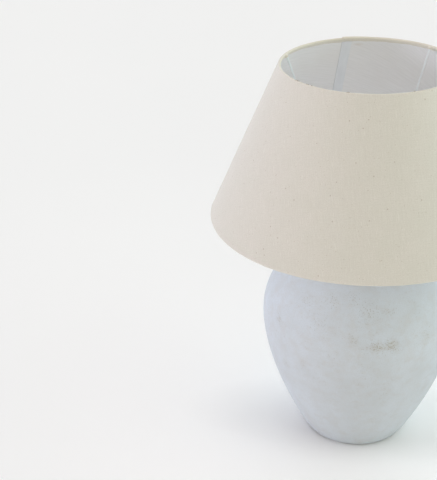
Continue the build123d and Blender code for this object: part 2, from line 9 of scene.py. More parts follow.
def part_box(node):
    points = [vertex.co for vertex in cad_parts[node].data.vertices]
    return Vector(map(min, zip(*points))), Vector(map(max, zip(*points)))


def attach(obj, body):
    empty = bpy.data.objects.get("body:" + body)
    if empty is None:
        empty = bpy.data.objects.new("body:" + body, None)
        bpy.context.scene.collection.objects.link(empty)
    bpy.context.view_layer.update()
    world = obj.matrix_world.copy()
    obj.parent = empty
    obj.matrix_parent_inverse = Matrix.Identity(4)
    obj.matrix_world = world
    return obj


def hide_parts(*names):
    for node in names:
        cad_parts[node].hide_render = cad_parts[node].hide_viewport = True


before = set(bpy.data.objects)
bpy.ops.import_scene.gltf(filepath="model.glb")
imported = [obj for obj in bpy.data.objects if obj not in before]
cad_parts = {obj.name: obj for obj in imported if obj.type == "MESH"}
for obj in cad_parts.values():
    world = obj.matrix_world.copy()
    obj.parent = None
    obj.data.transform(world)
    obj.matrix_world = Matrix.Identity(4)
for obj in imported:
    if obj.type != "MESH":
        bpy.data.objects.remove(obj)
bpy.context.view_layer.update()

# ---------------------------------------------------------------- camera
# A long lens in front of the lamp, a little higher than the shade and looking down on it. The lamp stands
# right of the middle, so the camera is turned slightly to its left and is almost level.
camera_place = Vector((0, -1.3865, 0.97167))
turned_left, tipped_down, leaning = 0.1372, 0.4633, -0.0147
ahead = Vector((-sin(turned_left) * cos(tipped_down), cos(turned_left) * cos(tipped_down), -sin(tipped_down)))
level = ahead.cross(Vector((0, 0, 1))).normalized()
upright = level.cross(ahead)
picture_right = level * cos(leaning) + upright * sin(leaning)
picture_up = upright * cos(leaning) - level * sin(leaning)
lens = bpy.data.cameras.new("camera")
lens.sensor_width = 36
lens.lens = 87.28
camera = bpy.data.objects.new("camera", lens)
facing = Matrix((picture_right, picture_up, -ahead)).transposed().to_4x4()
camera.matrix_world = Matrix.Translation(camera_place) @ facing
bpy.context.scene.collection.objects.link(camera)
bpy.context.scene.camera = camera

# ---------------------------------------------------------------- studio
# A pale floor that runs out of sight, in a white tent. Its roof, its back and its right wall glow, and two
# broad lights stand low down: a cool one on the left and a weaker, warmer one in front.
bpy.context.scene.view_settings.view_transform = "Standard"
backdrop = (0.875, 0.875, 0.875)
tent = bpy.data.worlds.new("tent")
tent.use_nodes = True
bpy.context.scene.world = tent


def add_node(near, kind, sockets=None, **settings):
    """Adds a node to a material or to the tent, or beside a node whose output is given. Each of its sockets
    is given a plain value, or the output of another node."""
    tree = near.id_data if isinstance(near, bpy.types.NodeSocket) else near.node_tree
    added = tree.nodes.new("ShaderNode" + kind)
    for setting, value in settings.items():
        setattr(added, setting, value)
    for socket, value in (sockets or {}).items():
        if isinstance(value, bpy.types.NodeSocket):
            tree.links.new(value, added.inputs[socket])
        else:
            added.inputs[socket].default_value = value
    return added


def reckon(operation, first, second=0.0):
    """One step of arithmetic on two numbers."""
    return add_node(first, "Math", {0: first, 1: second}, operation=operation).outputs[0]


def tent_wall(towards, glow, rest):
    """Adds a wall's glow to the rest: its colour times the square of how far a direction points to it."""
    way = add_node(tent, "TexCoord").outputs["Generated"]
    share = add_node(tent, "VectorMath", {0: way, 1: towards}, operation="DOT_PRODUCT").outputs["Value"]
    share = reckon("POWER", reckon("MAXIMUM", share), 2.0)
    colour = add_node(tent, "VectorMath", {0: glow, "Scale": share}, operation="SCALE").outputs["Vector"]
    return add_node(tent, "VectorMath", {0: colour, 1: rest}, operation="ADD").outputs["Vector"]


tent_colour = tent_wall((0, 0, 1), (0.937, 0.779, 0.742), (0, 0, 0))
tent_colour = tent_wall((0, 1, 0), (1.515, 1.844, 1.966), tent_colour)
tent_colour = tent_wall((1, 0, 0), (1.442, 1.732, 1.659), tent_colour)
tent_glow = add_node(tent, "Background", {"Color": tent_colour}).outputs[0]
tent_seen = add_node(tent, "Background", {"Color": (*backdrop, 1)}).outputs[0]
seen = add_node(tent, "LightPath").outputs["Is Camera Ray"]
tent_choice = add_node(tent, "MixShader", {0: seen, 1: tent_glow, 2: tent_seen})
tent.node_tree.links.new(tent_choice.outputs[0], tent.node_tree.nodes["World Output"].inputs["Surface"])


def soft_light(name, source, strength, colour, spread):
    """A light from very far off, in the direction source. Its disc is spread degrees wide."""
    light = bpy.data.lights.new(name, "SUN")
    light.energy = strength
    light.color = colour
    light.angle = radians(spread)
    lamp = bpy.data.objects.new(name, light)
    lamp.rotation_euler = Vector(source).to_track_quat("Z", "Y").to_euler()
    bpy.context.scene.collection.objects.link(lamp)


soft_light("left_light", (-1, -0.1, 0.10), 2.0, (0.926, 0.953, 1.097), 40)
soft_light("front_light", (0, -1, 0.25), 0.64, (1.057, 1.043, 0.874), 50)


def new_material(name, colour, roughness, **plain):
    """A material with one surface shader. plain gives its other even values, with _ for each space."""
    material = bpy.data.materials.new(name)
    material.use_nodes = True
    surface = material.node_tree.nodes["Principled BSDF"]
    surface.inputs["Base Color"].default_value = (*colour, 1)
    surface.inputs["Roughness"].default_value = roughness
    for socket, value in plain.items():
        surface.inputs[socket.replace("_", " ")].default_value = value
    return material


def paint(socket, output):
    """Joins an output to a socket of its material's surface shader."""
    surface = output.id_data.nodes["Principled BSDF"]
    output.id_data.links.new(output, surface.inputs[socket])


def body_place(material):
    """Where a point lies on the lamp, in metres."""
    return add_node(material, "TexCoord").outputs["Object"]


def blotches(place, size, stretch=(1, 1, 1), detail=2.0, roughness=0.5):
    """A soft random pattern from 0 to 1. Its blotches are about this size in metres, times stretch."""
    shrink = [1 / (size * part) for part in stretch]
    scaled = add_node(place, "Mapping", {"Vector": place, "Scale": shrink})
    sockets = {"Vector": scaled.outputs["Vector"], "Scale": 1.0, "Detail": detail, "Roughness": roughness}
    return add_node(place, "TexNoise", sockets).outputs["Fac"]


def levels(value, low, high, start=0.0, end=1.0):
    """Carries low to start and high to end in a straight line, and holds both ends."""
    sockets = {"Value": value, "From Min": low, "From Max": high, "To Min": start, "To Max": end}
    return add_node(value, "MapRange", sockets).outputs["Result"]


def mix_colours(share, first, second):
    """The first colour, turned towards the second by a share from 0 to 1."""
    first, second = (end if isinstance(end, bpy.types.NodeSocket) else (*end, 1) for end in (first, second))
    return add_node(share, "Mix", {0: share, 6: first, 7: second}, data_type="RGBA").outputs[2]


def emboss(height, depth):
    """Presses a pattern into the surface: a height of 1 stands this many metres over a height of 0."""
    relief = add_node(height, "Bump", {"Height": height, "Distance": depth, "Strength": 1.0})
    paint("Normal", relief.outputs["Normal"])


floor_material = new_material("studio_floor", backdrop, 0.9, Specular_IOR_Level=0.0)
floor_shade = blotches(body_place(floor_material), 0.6)
floor_tone = levels(floor_shade, 0.3, 0.7, 0.996, 1.004)
floor_colour = add_node(floor_material, "VectorMath", {0: (0.905, 0.905, 0.905), 3: 1.0}, operation="SCALE")
floor_material.node_tree.links.new(floor_tone, floor_colour.inputs["Scale"])
paint("Base Color", floor_colour.outputs["Vector"])


def far_from(material, place, stretch=(1, 1, 1)):
    """How far a point lies from this place, in metres, with its three parts counted stretch times."""
    sockets = {0: body_place(material), 1: place}
    offset = add_node(material, "VectorMath", sockets, operation="SUBTRACT").outputs[0]
    stretched = add_node(material, "Mapping", {"Vector": offset, "Scale": stretch}).outputs["Vector"]
    return add_node(material, "VectorMath", {0: stretched}, operation="LENGTH").outputs["Value"]


def floor_glow(strength, reach):
    """A painted pool of light that the floor gives off in front of the lamp: strength times exp(-(distance /
    reach) squared).
    """
    share = reckon("DIVIDE", far_from(floor_material, (-0.06, -0.13, 0)), reach)
    fade = reckon("MULTIPLY", reckon("POWER", share, 2.0), -1.0)
    return reckon("MULTIPLY", reckon("EXPONENT", fade), strength)


# The glow is held off beside the foot, so that the foot keeps its shadow there.
glow = reckon("ADD", floor_glow(0.105, 0.27), floor_glow(0.04, 0.75))
beside_foot = levels(far_from(floor_material, (0.02, 0, 0), (1, 2.4, 1)), 0.13, 0.27)
paint("Emission Strength", reckon("MULTIPLY", glow, beside_foot))
floor_material.node_tree.nodes["Principled BSDF"].inputs["Emission Color"].default_value = (1, 1, 1, 1)
floor_reach = 14.0
floor_mesh = bpy.data.meshes.new("studio_floor")
floor_corners = [(x * floor_reach, y * floor_reach, 0) for x, y in ((-1, -1), (1, -1), (1, 1), (-1, 1))]
floor_mesh.from_pydata(floor_corners, [], [(0, 1, 2, 3)])
floor_mesh.materials.append(floor_material)
floor = bpy.data.objects.new("studio_floor", floor_mesh)
bpy.context.scene.collection.objects.link(floor)

# ---------------------------------------------------------------- felt foot
# A ring cut from pale grey pressed felt, glued under the body so that the ceramic doesn't scratch the table.
# Its cut edges are a little ragged, and its hairs lie every way.
mm = 0.001


def outline(corners, closed=True, step=None):
    """An outline through (radius, height, rounding) corners in millimetres, given back in metres.

    A rounded corner becomes an arc that touches both its sides. Where a step is given, points divide each
    side into equal parts no longer than the step.
    """
    places = np.array([corner[:2] for corner in corners], float)
    runs = []
    for number, corner in enumerate(corners):
        rounding = corner[2] if len(corner) > 2 else 0
        place = places[number]
        if not rounding:
            runs.append(place[None])
            continue
        back = places[number - 1] - place
        on = places[(number + 1) % len(places)] - place
        back, on = back / np.linalg.norm(back), on / np.linalg.norm(on)
        half = np.arccos(back @ on) / 2
        middle = place + (back + on) / np.linalg.norm(back + on) * rounding / np.sin(half)
        share = np.linspace(0, 1, 7)[:, None]
        arc = place + (back * (1 - share) + on * share) * rounding / np.tan(half) - middle
        runs.append(middle + arc * rounding / np.linalg.norm(arc, axis=1, keepdims=True))
    points = np.concatenate(runs)
    if step:
        ends = np.roll(points, -1, axis=0) if closed else points[1:]
        sides = zip(points, ends)
        parts = [(a, b, int(np.ceil(np.linalg.norm(b - a) / step)) or 1) for a, b in sides]
        fine = [a + (b - a) * np.arange(count)[:, None] / count for a, b, count in parts]
        points = np.concatenate(fine if closed else fine + [points[-1:]])
    return points * mm


def skin(name, grids, wrap_rows=True, wrap_columns=True, pattern=None, sharp=40):
    """One mesh over grids of points: each four neighbours of a grid make a face.

    Wrapped rows or columns join the last to the first. The faces are turned outwards by the sign of the
    volume inside them. pattern holds flat places for the grid's points, one row and one column more than it
    has, so that the face that closes a turn doesn't run back across the whole pattern.
    """
    grids = grids if isinstance(grids, list) else [grids]
    points, faces, flat = [], [], []
    start = 0
    for grid in grids:
        rows, columns = grid.shape[:2]
        row = np.arange(rows if wrap_rows else rows - 1)[:, None]
        column = np.arange(columns if wrap_columns else columns - 1)[None, :]
        corners = [(row, column), (row + 1, column), (row + 1, column + 1), (row, column + 1)]
        quads = np.stack([(r % rows) * columns + c % columns for r, c in corners], -1).reshape(-1, 4)
        places = grid.reshape(-1, 3)
        a, b, c, d = (places[quads[:, number]] for number in range(4))
        inside_out = (np.cross(a, b) * c).sum() + (np.cross(a, c) * d).sum() < 0
        points.append(places)
        faces.append(start + (quads[:, ::-1] if inside_out else quads))
        start += len(places)
        if pattern is not None:
            spots = np.stack([pattern[r, c] for r, c in corners], 2).reshape(-1, 4, 2)
            flat.append(spots[:, ::-1] if inside_out else spots)
    mesh = bpy.data.meshes.new(name)
    mesh.from_pydata(np.concatenate(points).tolist(), [], np.concatenate(faces).tolist())
    if pattern is not None:
        layer = mesh.uv_layers.new(name="flat_cut")
        layer.data.foreach_set("uv", np.concatenate(flat).ravel().astype(np.float32))
    work = bmesh.new()
    work.from_mesh(mesh)
    bmesh.ops.remove_doubles(work, verts=work.verts, dist=1e-7)
    work.to_mesh(mesh)
    work.free()
    mesh.shade_smooth()
    mesh.set_sharp_from_angle(angle=radians(sharp))
    piece = bpy.data.objects.new(name, mesh)
    bpy.context.scene.collection.objects.link(piece)
    return piece


def round_axis(turn, radius, height, origin=(0, 0, 0), axis=(0, 0, 1)):
    """Points at these turns, radii and heights about an axis that starts at the origin."""
    along = Vector(axis).normalized()
    first = Vector((1, 0, 0)) if abs(along.x) < 0.5 else Vector((0, 1, 0))
    second = along.cross(first)
    directions = np.cos(turn)[..., None] * np.array(first) + np.sin(turn)[..., None] * np.array(second)
    return np.array(origin) + radius[..., None] * directions + height[..., None] * np.array(along)


def turned(name, section, around=180, change=None, sharp=40, **axis):
    """A piece turned about an axis: each point of the section, (radius, height), goes once round.

    change(turn, radius, height) gives what is added to the radius at each point, for threads, flutes and
    ripples. A section that starts and ends on the axis is a solid end to end, and any other is a closed loop.
    """
    closed = section[0, 0] > 0 or section[-1, 0] > 0
    turn = np.broadcast_to(np.arange(around) * tau / around, (len(section), around))
    radius = np.repeat(section[:, :1], around, axis=1)
    height = np.repeat(section[:, 1:], around, axis=1)
    if change:
        radius = radius + change(turn, radius, height)
    return skin(name, round_axis(turn, radius, height, **axis), wrap_rows=closed, sharp=sharp)


def fit(piece, material, body, slot, *nodes):
    """Gives a piece its material and its body, and hides the plain solids that it stands for, if any. The
    slot is not used.
    """
    piece.data.materials.append(material)
    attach(piece, body)
    if nodes:
        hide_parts(*nodes)


def extent(name):
    """A round solid's radius, foot and top, in millimetres."""
    low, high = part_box(name)
    return high.x / mm, low.z / mm, high.z / mm


def band(bore, radius, bottom, top, rounds, step):
    """A plain ring's section. Its corners run from the bore's foot out, up and back, each with a rounding."""
    corners = ((bore, bottom), (radius, bottom), (radius, top), (bore, top))
    return outline([(*corner, rounding) for corner, rounding in zip(corners, rounds)], step=step)


felt_material = new_material("pressed_felt", (0.50, 0.51, 0.52), 1.0, Sheen_Weight=0.35, Sheen_Roughness=0.6)
felt_hairs = blotches(body_place(felt_material), 0.7 * mm, (1, 3, 1), 4.0, 0.7)
felt_tone = mix_colours(levels(felt_hairs, 0.3, 0.7), (0.42, 0.43, 0.45), (0.58, 0.59, 0.60))
paint("Base Color", felt_tone)
emboss(felt_hairs, 0.5 * mm)
felt_inner = 45.0
felt_outer, felt_top = extent("felt_ring")[::2]
felt_section = band(felt_inner, felt_outer, 0, felt_top, (0.4, 0.4, 0.4, 0.4), 2)


def ragged_cut(turn, radius, height):
    """The cut edges wander by up to 0.15 mm: three waves of 17, 41 and 73 to the turn, added up."""
    return (np.sin(17 * turn) + np.sin(41 * turn + 2) + np.sin(73 * turn + 4)) * 0.05 * mm


felt = turned("felt_foot", felt_section, around=240, change=ragged_cut)
fit(felt, felt_material, "base", "felt", "felt_ring")

# ---------------------------------------------------------------- ceramic body
# A thrown earthenware jar, closed at the neck but for a hole for the threaded tube, and open in the foot. It
# is brushed with a thin matt whitewash over its brown ground, which shows through in soft patches and in
# groups of tiny pits.
belly_radius, foot_level, neck_top = extent("ceramic_body")
body_wall = 7.0
foot_radius = 67.2
foot_mouth = 41.0
belly_level = foot_level + 176
shoulder_level = foot_level + 274
neck_radius = 33.0
tube_hole = 5.6
foot_corner = (foot_radius, foot_level)
neck_corner = (neck_radius, shoulder_level)


def bent(start, first, second, end, count):
    """Points along a cubic curve from start to end. The first and second place are its handles."""
    t = np.linspace(0, 1, count)[:, None]
    start, first, second, end = (np.array(place, float) for place in (start, first, second, end))
    return (1 - t) ** 3 * start + 3 * (1 - t) ** 2 * t * first + 3 * (1 - t) * t**2 * second + t**3 * end


belly = (belly_radius, belly_level)
flank = bent(foot_corner, (75.9, foot_level + 7.4), (belly_radius, belly_level - 67), belly, 110)
shoulder = bent(belly, (belly_radius, belly_level + 52.9), (92.6, shoulder_level), neck_corner, 90)
outside = np.concatenate([flank, shoulder[1:]])
slope = np.gradient(outside, axis=0)
inwards = np.stack([-slope[:, 1], slope[:, 0]], 1) / np.linalg.norm(slope, axis=1, keepdims=True)
inside = (outside + inwards * body_wall)[::3]
inside = inside[(inside[:, 1] > foot_level + body_wall) & (inside[:, 1] < shoulder_level - body_wall - 0.1)]
curved = outside[1:][outside[1:, 0] > neck_radius + 3.2]
body_corners = [(foot_mouth, foot_level, 1.0), (*foot_corner, 1.5)]
body_corners += [tuple(place) for place in curved]
body_corners += [(*neck_corner, 3.0), (neck_radius, neck_top, 1.5)]
body_corners += [(tube_hole, neck_top), (tube_hole, neck_top - body_wall)]
body_corners += [tuple(place) for place in inside[::-1]]
body_corners += [(inside[0, 0] - 3, foot_level + body_wall, 1.5), (foot_mouth, foot_level + body_wall, 1.0)]
body_section = outline(body_corners)


def hand_thrown(turn, radius, height):
    """How far the wall wanders from round: two slow waves round the jar that drift with height, and the faint
    spiral of the potter's fingers. All fade out towards the foot and the neck."""
    z = height / mm
    room = np.clip((z - foot_level) / 40, 0, 1) * np.clip((shoulder_level - z) / 30, 0, 1)
    drift = 0.22 * np.sin(3 * turn + z / 41) + 0.13 * np.sin(5 * turn - z / 23 + 1)
    spiral = 0.05 * np.sin(tau * z / 9 - turn)
    return room * (drift + spiral) * mm


jar = turned("ceramic_body", body_section, around=280, change=hand_thrown)


def drill(piece, holes, sharp):
    """Cuts holes out of a piece for good. Each is a round bar: radius, start, end, sides, origin and axis."""
    bars = []
    for radius, start, end, sides, origin, axis in holes:
        section = outline([(0, start), (radius, start), (radius, end), (0, end)], closed=False)
        bars.append(turned("drill", section, around=sides, origin=origin, axis=axis))
        cut = piece.modifiers.new("cut", "BOOLEAN")
        cut.operation = "DIFFERENCE"
        cut.solver = "EXACT"
        cut.object = bars[-1]
    solid = bpy.data.meshes.new_from_object(piece.evaluated_get(bpy.context.evaluated_depsgraph_get()))
    piece.modifiers.clear()
    piece.data = solid
    for bar in bars:
        bpy.data.objects.remove(bar)
    solid.shade_smooth()
    solid.set_sharp_from_angle(angle=radians(sharp))


outlet_place = (0, 83.1631 * mm, 28 * mm)
outlet_axis = (0, 0.886815, -0.462124)
outlet_radius = 6.5
drill(jar, [(outlet_radius, -14, 14, 48, outlet_place, outlet_axis)], 40)


def vertex_places(piece):
    """Where a piece's vertices lie, in millimetres."""
    places = np.empty(len(piece.data.vertices) * 3, np.float32)
    piece.data.vertices.foreach_get("co", places)
    return places.reshape(-1, 3) / mm


def mark(piece, name, values):
    """Gives each vertex of a piece a number that its material can read."""
    layer = piece.data.attributes.new(name, "FLOAT", "POINT")
    layer.data.foreach_set("value", values.astype(np.float32))


# Where the ground shows: degrees about the axis, the middle's level, width and height in millimetres, share.
bare_patches = [
    (-79, 195, 17, 10, 1.0),
    (-71, 196, 14, 11, 1.0),
    (-68, 189, 8, 9, 0.55),
    (-83, 236, 19, 16, 0.45),
    (-70, 237, 14, 6, 0.50),
    (-108, 245, 11, 9, 0.45),
    (-93, 249, 9, 12, 0.30),
    (-126, 237, 14, 9, 0.35),
    (-144, 200, 9, 7, 0.50),
    (-114, 221, 14, 20, 0.25),
    (-92, 205, 10, 9, 0.40),
    (-138, 137, 10, 8, 0.45),
    (-48, 199, 18, 14, 0.35),
    (-86, 153, 14, 28, 0.15),
    (-71, 118, 15, 24, 0.22),
    (-113, 134, 14, 12, 0.20),
    (-106, 176, 8, 8, 0.25),
    (-52, 237, 12, 12, 0.20),
    (20, 150, 30, 16, 0.50),
    (75, 210, 36, 14, 0.70),
    (118, 120, 22, 18, 0.35),
    (165, 185, 30, 12, 0.45),
]
jar_points = vertex_places(jar)
bare = np.zeros(len(jar_points))
for degrees, height, width, tall, share in bare_patches:
    direction = np.array((cos(radians(degrees)), sin(radians(degrees))))
    sideways = jar_points[:, :2] @ np.array((-direction[1], direction[0]))
    facing_patch = jar_points[:, :2] @ direction > 0
    spread = (sideways / (width / 2)) ** 2 + ((jar_points[:, 2] - height) / (tall / 2)) ** 2
    bare = np.maximum(bare, share * facing_patch * np.exp(-spread / 1.6))
mark(jar, "bare", bare)

whitewash = new_material("whitewash", (0.65, 0.68, 0.70), 0.88, Specular_IOR_Level=0.25)


def flecks(place, spacing, size, share):
    """Small round spots, one in each cell of a random net, kept where its own chance is under share."""
    cells = add_node(place, "Mapping", {"Vector": place, "Scale": [1 / spacing] * 3}).outputs["Vector"]
    net = add_node(place, "TexVoronoi", {"Vector": cells, "Scale": 1.0}, feature="F1")
    chance = add_node(place, "SeparateColor", {"Color": net.outputs["Color"]}).outputs["Red"]
    near = levels(net.outputs["Distance"], size / spacing, 0.5 * size / spacing)
    return reckon("MULTIPLY", near, reckon("LESS_THAN", chance, share))


def tint(tone, *steps):
    """Turns a tone towards one colour after another. Each step is (pattern, low, high, most, colour), with
    no share of the colour where the pattern is at low, and most where it is at high."""
    for pattern, low, high, most, colour in steps:
        share = levels(pattern, low, high, 0, most)
        tone = mix_colours(share, tone, colour)
    return tone


wash_place = body_place(whitewash)
wash_clouds = blotches(wash_place, 34 * mm, detail=4.0, roughness=0.62)
wash_brushed = blotches(wash_place, 13 * mm, (1, 1, 0.7), 4.0, 0.62)
wash_smears = blotches(wash_place, 19 * mm, (1, 1, 1.2), 3.0, 0.55)
wash_grain = blotches(wash_place, 1.4 * mm, detail=3.0, roughness=0.7)
wash_bare = add_node(whitewash, "Attribute", attribute_name="bare").outputs["Fac"]
wash_worn = levels(wash_brushed, 0.56, 0.80, 0.0, 0.16)
wash_thin = reckon("ADD", wash_bare, wash_worn)
wash_pits = flecks(wash_place, 2.0 * mm, 0.80 * mm, reckon("MULTIPLY", wash_thin, 0.95))
wash_pinholes = flecks(wash_place, 1.1 * mm, 0.42 * mm, reckon("MULTIPLY", wash_thin, 0.9))
wash_pits = reckon("MAXIMUM", reckon("MULTIPLY", wash_pits, 0.8), wash_pinholes)
wash_deep = levels(wash_bare, 0.1, 0.9, 0.34, 0.95)
pale, shaded = (0.647, 0.687, 0.740), (0.594, 0.624, 0.656)
dusty, ground = (0.576, 0.564, 0.556), (0.335, 0.266, 0.178)
wash_height = add_node(whitewash, "SeparateXYZ", {"Vector": wash_place}).outputs["Z"]
wash_tone = tint(
    mix_colours(levels(wash_clouds, 0.30, 0.72), pale, shaded),
    (wash_brushed, 0.48, 0.78, 0.50, dusty),
    (wash_smears, 0.52, 0.74, 0.38, dusty),
    (wash_grain, 0.45, 0.80, 0.45, (0.50, 0.49, 0.48)),
    (wash_thin, 0.1, 1.0, 0.30, (0.51, 0.48, 0.42)),
    # Painted light and painted shade: the wash is made paler towards the shoulder, to lift the shadow under
    # the shade, and darker low down.
    (wash_height, 0.20, 0.26, 0.20, (0.82, 0.85, 0.89)),
    (wash_height, 0.19, 0.14, 0.25, (0.46, 0.475, 0.49)),
)
wash_tone = mix_colours(reckon("MULTIPLY", wash_pits, wash_deep), wash_tone, ground)
paint("Base Color", wash_tone)
paint("Roughness", levels(wash_brushed, 0.3, 0.8, 0.82, 0.95))
wash_relief = reckon("SUBTRACT", reckon("MULTIPLY", wash_grain, 0.45), wash_pits)
emboss(wash_relief, 0.35 * mm)
fit(jar, whitewash, "base", "whitewashed_ceramic", "ceramic_body")

# ---------------------------------------------------------------- lead grommet
# A black rubber bush pushed into the outlet low in the jar's back. Its two flanges hold it in the wall, and
# the lead goes through its bore.


def grained(name, colour, roughness, grain, tones=None, dull=None, relief=None, **plain):
    """A material with a random grain of this size, stretch and detail. Where they are given, it runs between
    two tones and between two levels of roughness, and stands out by the relief in metres."""
    material = new_material(name, colour, roughness, **plain)
    pattern = blotches(body_place(material), *grain)
    if tones:
        paint("Base Color", mix_colours(pattern, *tones))
    if dull:
        paint("Roughness", levels(pattern, 0.3, 0.7, *dull))
    if relief:
        emboss(pattern, relief)
    return material


even = (1, 1, 1)
black = (0.045, 0.045, 0.045)
black_rubber = grained("black_rubber", black, 0.62, (1.2 * mm, even, 3.0), dull=(0.5, 0.8), relief=0.05 * mm)
bush_bore, bush_waist, flange_radius = 3.6, 6.3, 9.0
inner_end, inner_flange, outer_flange, outer_end = -9.88, -8.09, 0.15, 1.95
bush_section = outline(
    [
        (bush_bore, inner_end, 0.5), (flange_radius, inner_end, 0.8),
        (flange_radius, inner_flange, 0.3), (bush_waist, inner_flange), (bush_waist, outer_flange),
        (flange_radius, outer_flange, 0.3), (flange_radius, outer_end, 0.9),
        (bush_bore, outer_end, 0.6),
    ],
    step=1.0,
)
grommet = turned("lead_grommet", bush_section, around=96, origin=outlet_place, axis=outlet_axis)
fit(grommet, black_rubber, "base", "black_rubber", "cable_grommet")

# ---------------------------------------------------------------- threaded tube and its washers
# A hollow M10 steel tube carries the lead up and clamps the lampholder to the neck. Under the neck a nut
# bears on a spring washer, a steel washer and a rubber one, and a gasket lies between the neck and its cap.
zinc_tones = ((0.50, 0.52, 0.56), (0.68, 0.69, 0.70))
zinc_look = {"tones": zinc_tones, "dull": (0.28, 0.48), "Metallic": 1.0}
zinc = grained("zinc_plate", (0.60, 0.62, 0.65), 0.36, (2.5 * mm, even, 4.0), **zinc_look)
emboss(blotches(body_place(zinc), 0.5 * mm), 0.03 * mm)
tube_bore = 3.4
tube_radius, tube_bottom, tube_top = extent("threaded_tube")
tube_section = band(tube_bore, tube_radius, tube_bottom, tube_top, (0, 0.4, 0.4, 0), 0.2)


def cut_thread(pitch, depth, crest, start, end):
    """A thread cut into a cylinder of radius crest: a wave that rises once each pitch and once each turn,
    sunk below the crest by up to the depth, and fading out at both ends."""

    def change(turn, radius, height):
        z = height / mm
        wave = 0.5 - 0.5 * np.cos(tau * z / pitch - turn)
        room = np.clip((z - start) / pitch, 0, 1) * np.clip((end - z) / pitch, 0, 1)
        return -depth * wave * room * (radius > (crest - 0.05) * mm) * mm

    return change


tube_thread = cut_thread(1.0, 0.55, tube_radius, tube_bottom, tube_top)
tube = turned("threaded_tube", tube_section, around=72, change=tube_thread)
fit(tube, zinc, "base", "zinc_steel", "threaded_tube")


def finish_nodes(material, *names):
    """Gives solids that are shown as they are this material."""
    for name in names:
        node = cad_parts[name]
        node.data.materials.clear()
        node.data.materials.append(material)


finish_nodes(zinc, "inner_nut", "inner_steel_washer", "inner_spring_washer")
finish_nodes(zinc, "cap_locknut", "holder_grub_screw")
finish_nodes(black_rubber, "inner_rubber_washer", "neck_gasket")

# ---------------------------------------------------------------- neck cap
# A disc of satin nickel-plated steel, spun over the rim of the neck. It hides the neck's hole and gives the
# locknut a flat seat. The spinning leaves fine rings.
cap_radius, cap_bottom, cap_top = extent("neck_cap")
cap_sheet = 1.2
cap_section = outline(
    [
        (tube_hole, cap_top - cap_sheet), (cap_radius - cap_sheet, cap_top - cap_sheet, 1.8),
        (cap_radius - cap_sheet, cap_bottom, 0.3), (cap_radius, cap_bottom, 0.5),
        (cap_radius, cap_top, 3.0), (tube_hole, cap_top),
    ],
    step=1.0,
)
satin_nickel = new_material("satin_nickel", (0.66, 0.64, 0.61), 0.34, Metallic=1.0)
# A random pattern, read along the distance from the lamp's axis and the height.
nickel_height = add_node(satin_nickel, "SeparateXYZ", {"Vector": body_place(satin_nickel)}).outputs["Z"]
nickel_sockets = {"X": far_from(satin_nickel, (0, 0, 0), (1, 1, 0)), "Y": nickel_height}
nickel_place = add_node(satin_nickel, "CombineXYZ", nickel_sockets).outputs["Vector"]
nickel_rings = blotches(nickel_place, 0.35 * mm, detail=3.0)
nickel_tone = mix_colours(nickel_rings, (0.60, 0.58, 0.55), (0.71, 0.69, 0.66))
paint("Base Color", nickel_tone)
paint("Roughness", levels(nickel_rings, 0.3, 0.7, 0.26, 0.44))
emboss(nickel_rings, 0.02 * mm)
neck_cap = turned("neck_cap", cap_section, around=180)
fit(neck_cap, satin_nickel, "base", "nickel_cap", "neck_cap")

# ---------------------------------------------------------------- lampholder
# A moulded E27 holder. Its cup screws on the tube and has a hole on each side for the switch bar. Its skirt
# screws into the cup, has a seat for the shade, and is threaded outside for the shade ring.
cup_low, cup_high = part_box("holder_cup")
cup_radius = cup_high.y / mm
cup_bottom, cup_top = cup_low.z / mm, cup_high.z / mm
cup_wall = 2.2
boss_radius = 9.5
boss_height = 6.0
cup_section = outline(
    [
        (tube_radius + 0.1, cup_bottom), (boss_radius, cup_bottom, 0.8),
        (cup_radius, cup_bottom + boss_height, 2.0), (cup_radius, cup_top, 0.5),
        (cup_radius - cup_wall, cup_top, 0.3),
        (cup_radius - cup_wall, cup_bottom + boss_height + cup_wall),
        (boss_radius, cup_bottom + boss_height), (tube_radius + 0.1, cup_bottom + boss_height),
    ],
    step=0.8,
)


def grip_ribs(turn, radius, height):
    """Fine upright ribs round the cup's wall, 60 to the turn, cut a third of a millimetre deep between a
    plain band below and one above, and left out round the switch bar."""
    z = height / mm
    room = np.clip((z - cup_bottom - 14.5) / 0.8, 0, 1) * np.clip((cup_top - 2 - z) / 0.8, 0, 1)
    clear_of_bar = np.clip((np.abs(np.sin(turn)) - 0.3) / 0.08, 0, 1)
    groove = np.clip(0.5 - 0.8 * np.cos(60 * turn), 0, 1)
    return -0.35 * mm * groove * room * clear_of_bar * (radius > (cup_radius - 0.1) * mm)


def moulded_plastic(name, colour, roughness):
    """A moulded plastic: an even colour with faint flow marks, and the fine grain of the mould."""
    material = new_material(name, colour, roughness, Specular_IOR_Level=0.45)
    place = body_place(material)
    flow = blotches(place, 9 * mm, (1, 1, 2))
    duller = tuple(channel * 0.94 for channel in colour)
    paint("Base Color", mix_colours(levels(flow, 0.35, 0.7), colour, duller))
    paint("Roughness", levels(flow, 0.3, 0.7, roughness - 0.06, roughness + 0.06))
    emboss(blotches(place, 0.35 * mm, detail=1.0), 0.02 * mm)
    return material


holder_plastic = moulded_plastic("holder_plastic", (0.80, 0.80, 0.77), 0.42)
bar_low, bar_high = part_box("switch_bar")
bar_radius = (bar_high.y - bar_low.y) / 2 / mm
bar_level = (bar_high.z + bar_low.z) / 2
holder_cup = turned("holder_cup", cup_section, around=360, change=grip_ribs)
bar_hole = (bar_radius + 0.4, -40, 40, 48, (0, 0, bar_level), (1, 0, 0))
screw_low, screw_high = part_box("holder_grub_screw")
screw_hole = (1.6, -30, 0, 32, (0, 0, (screw_low.z + screw_high.z) / 2), (0, 1, 0))
drill(holder_cup, [bar_hole, screw_hole], 32)
fit(holder_cup, holder_plastic, "base", "holder_plastic", "holder_cup")

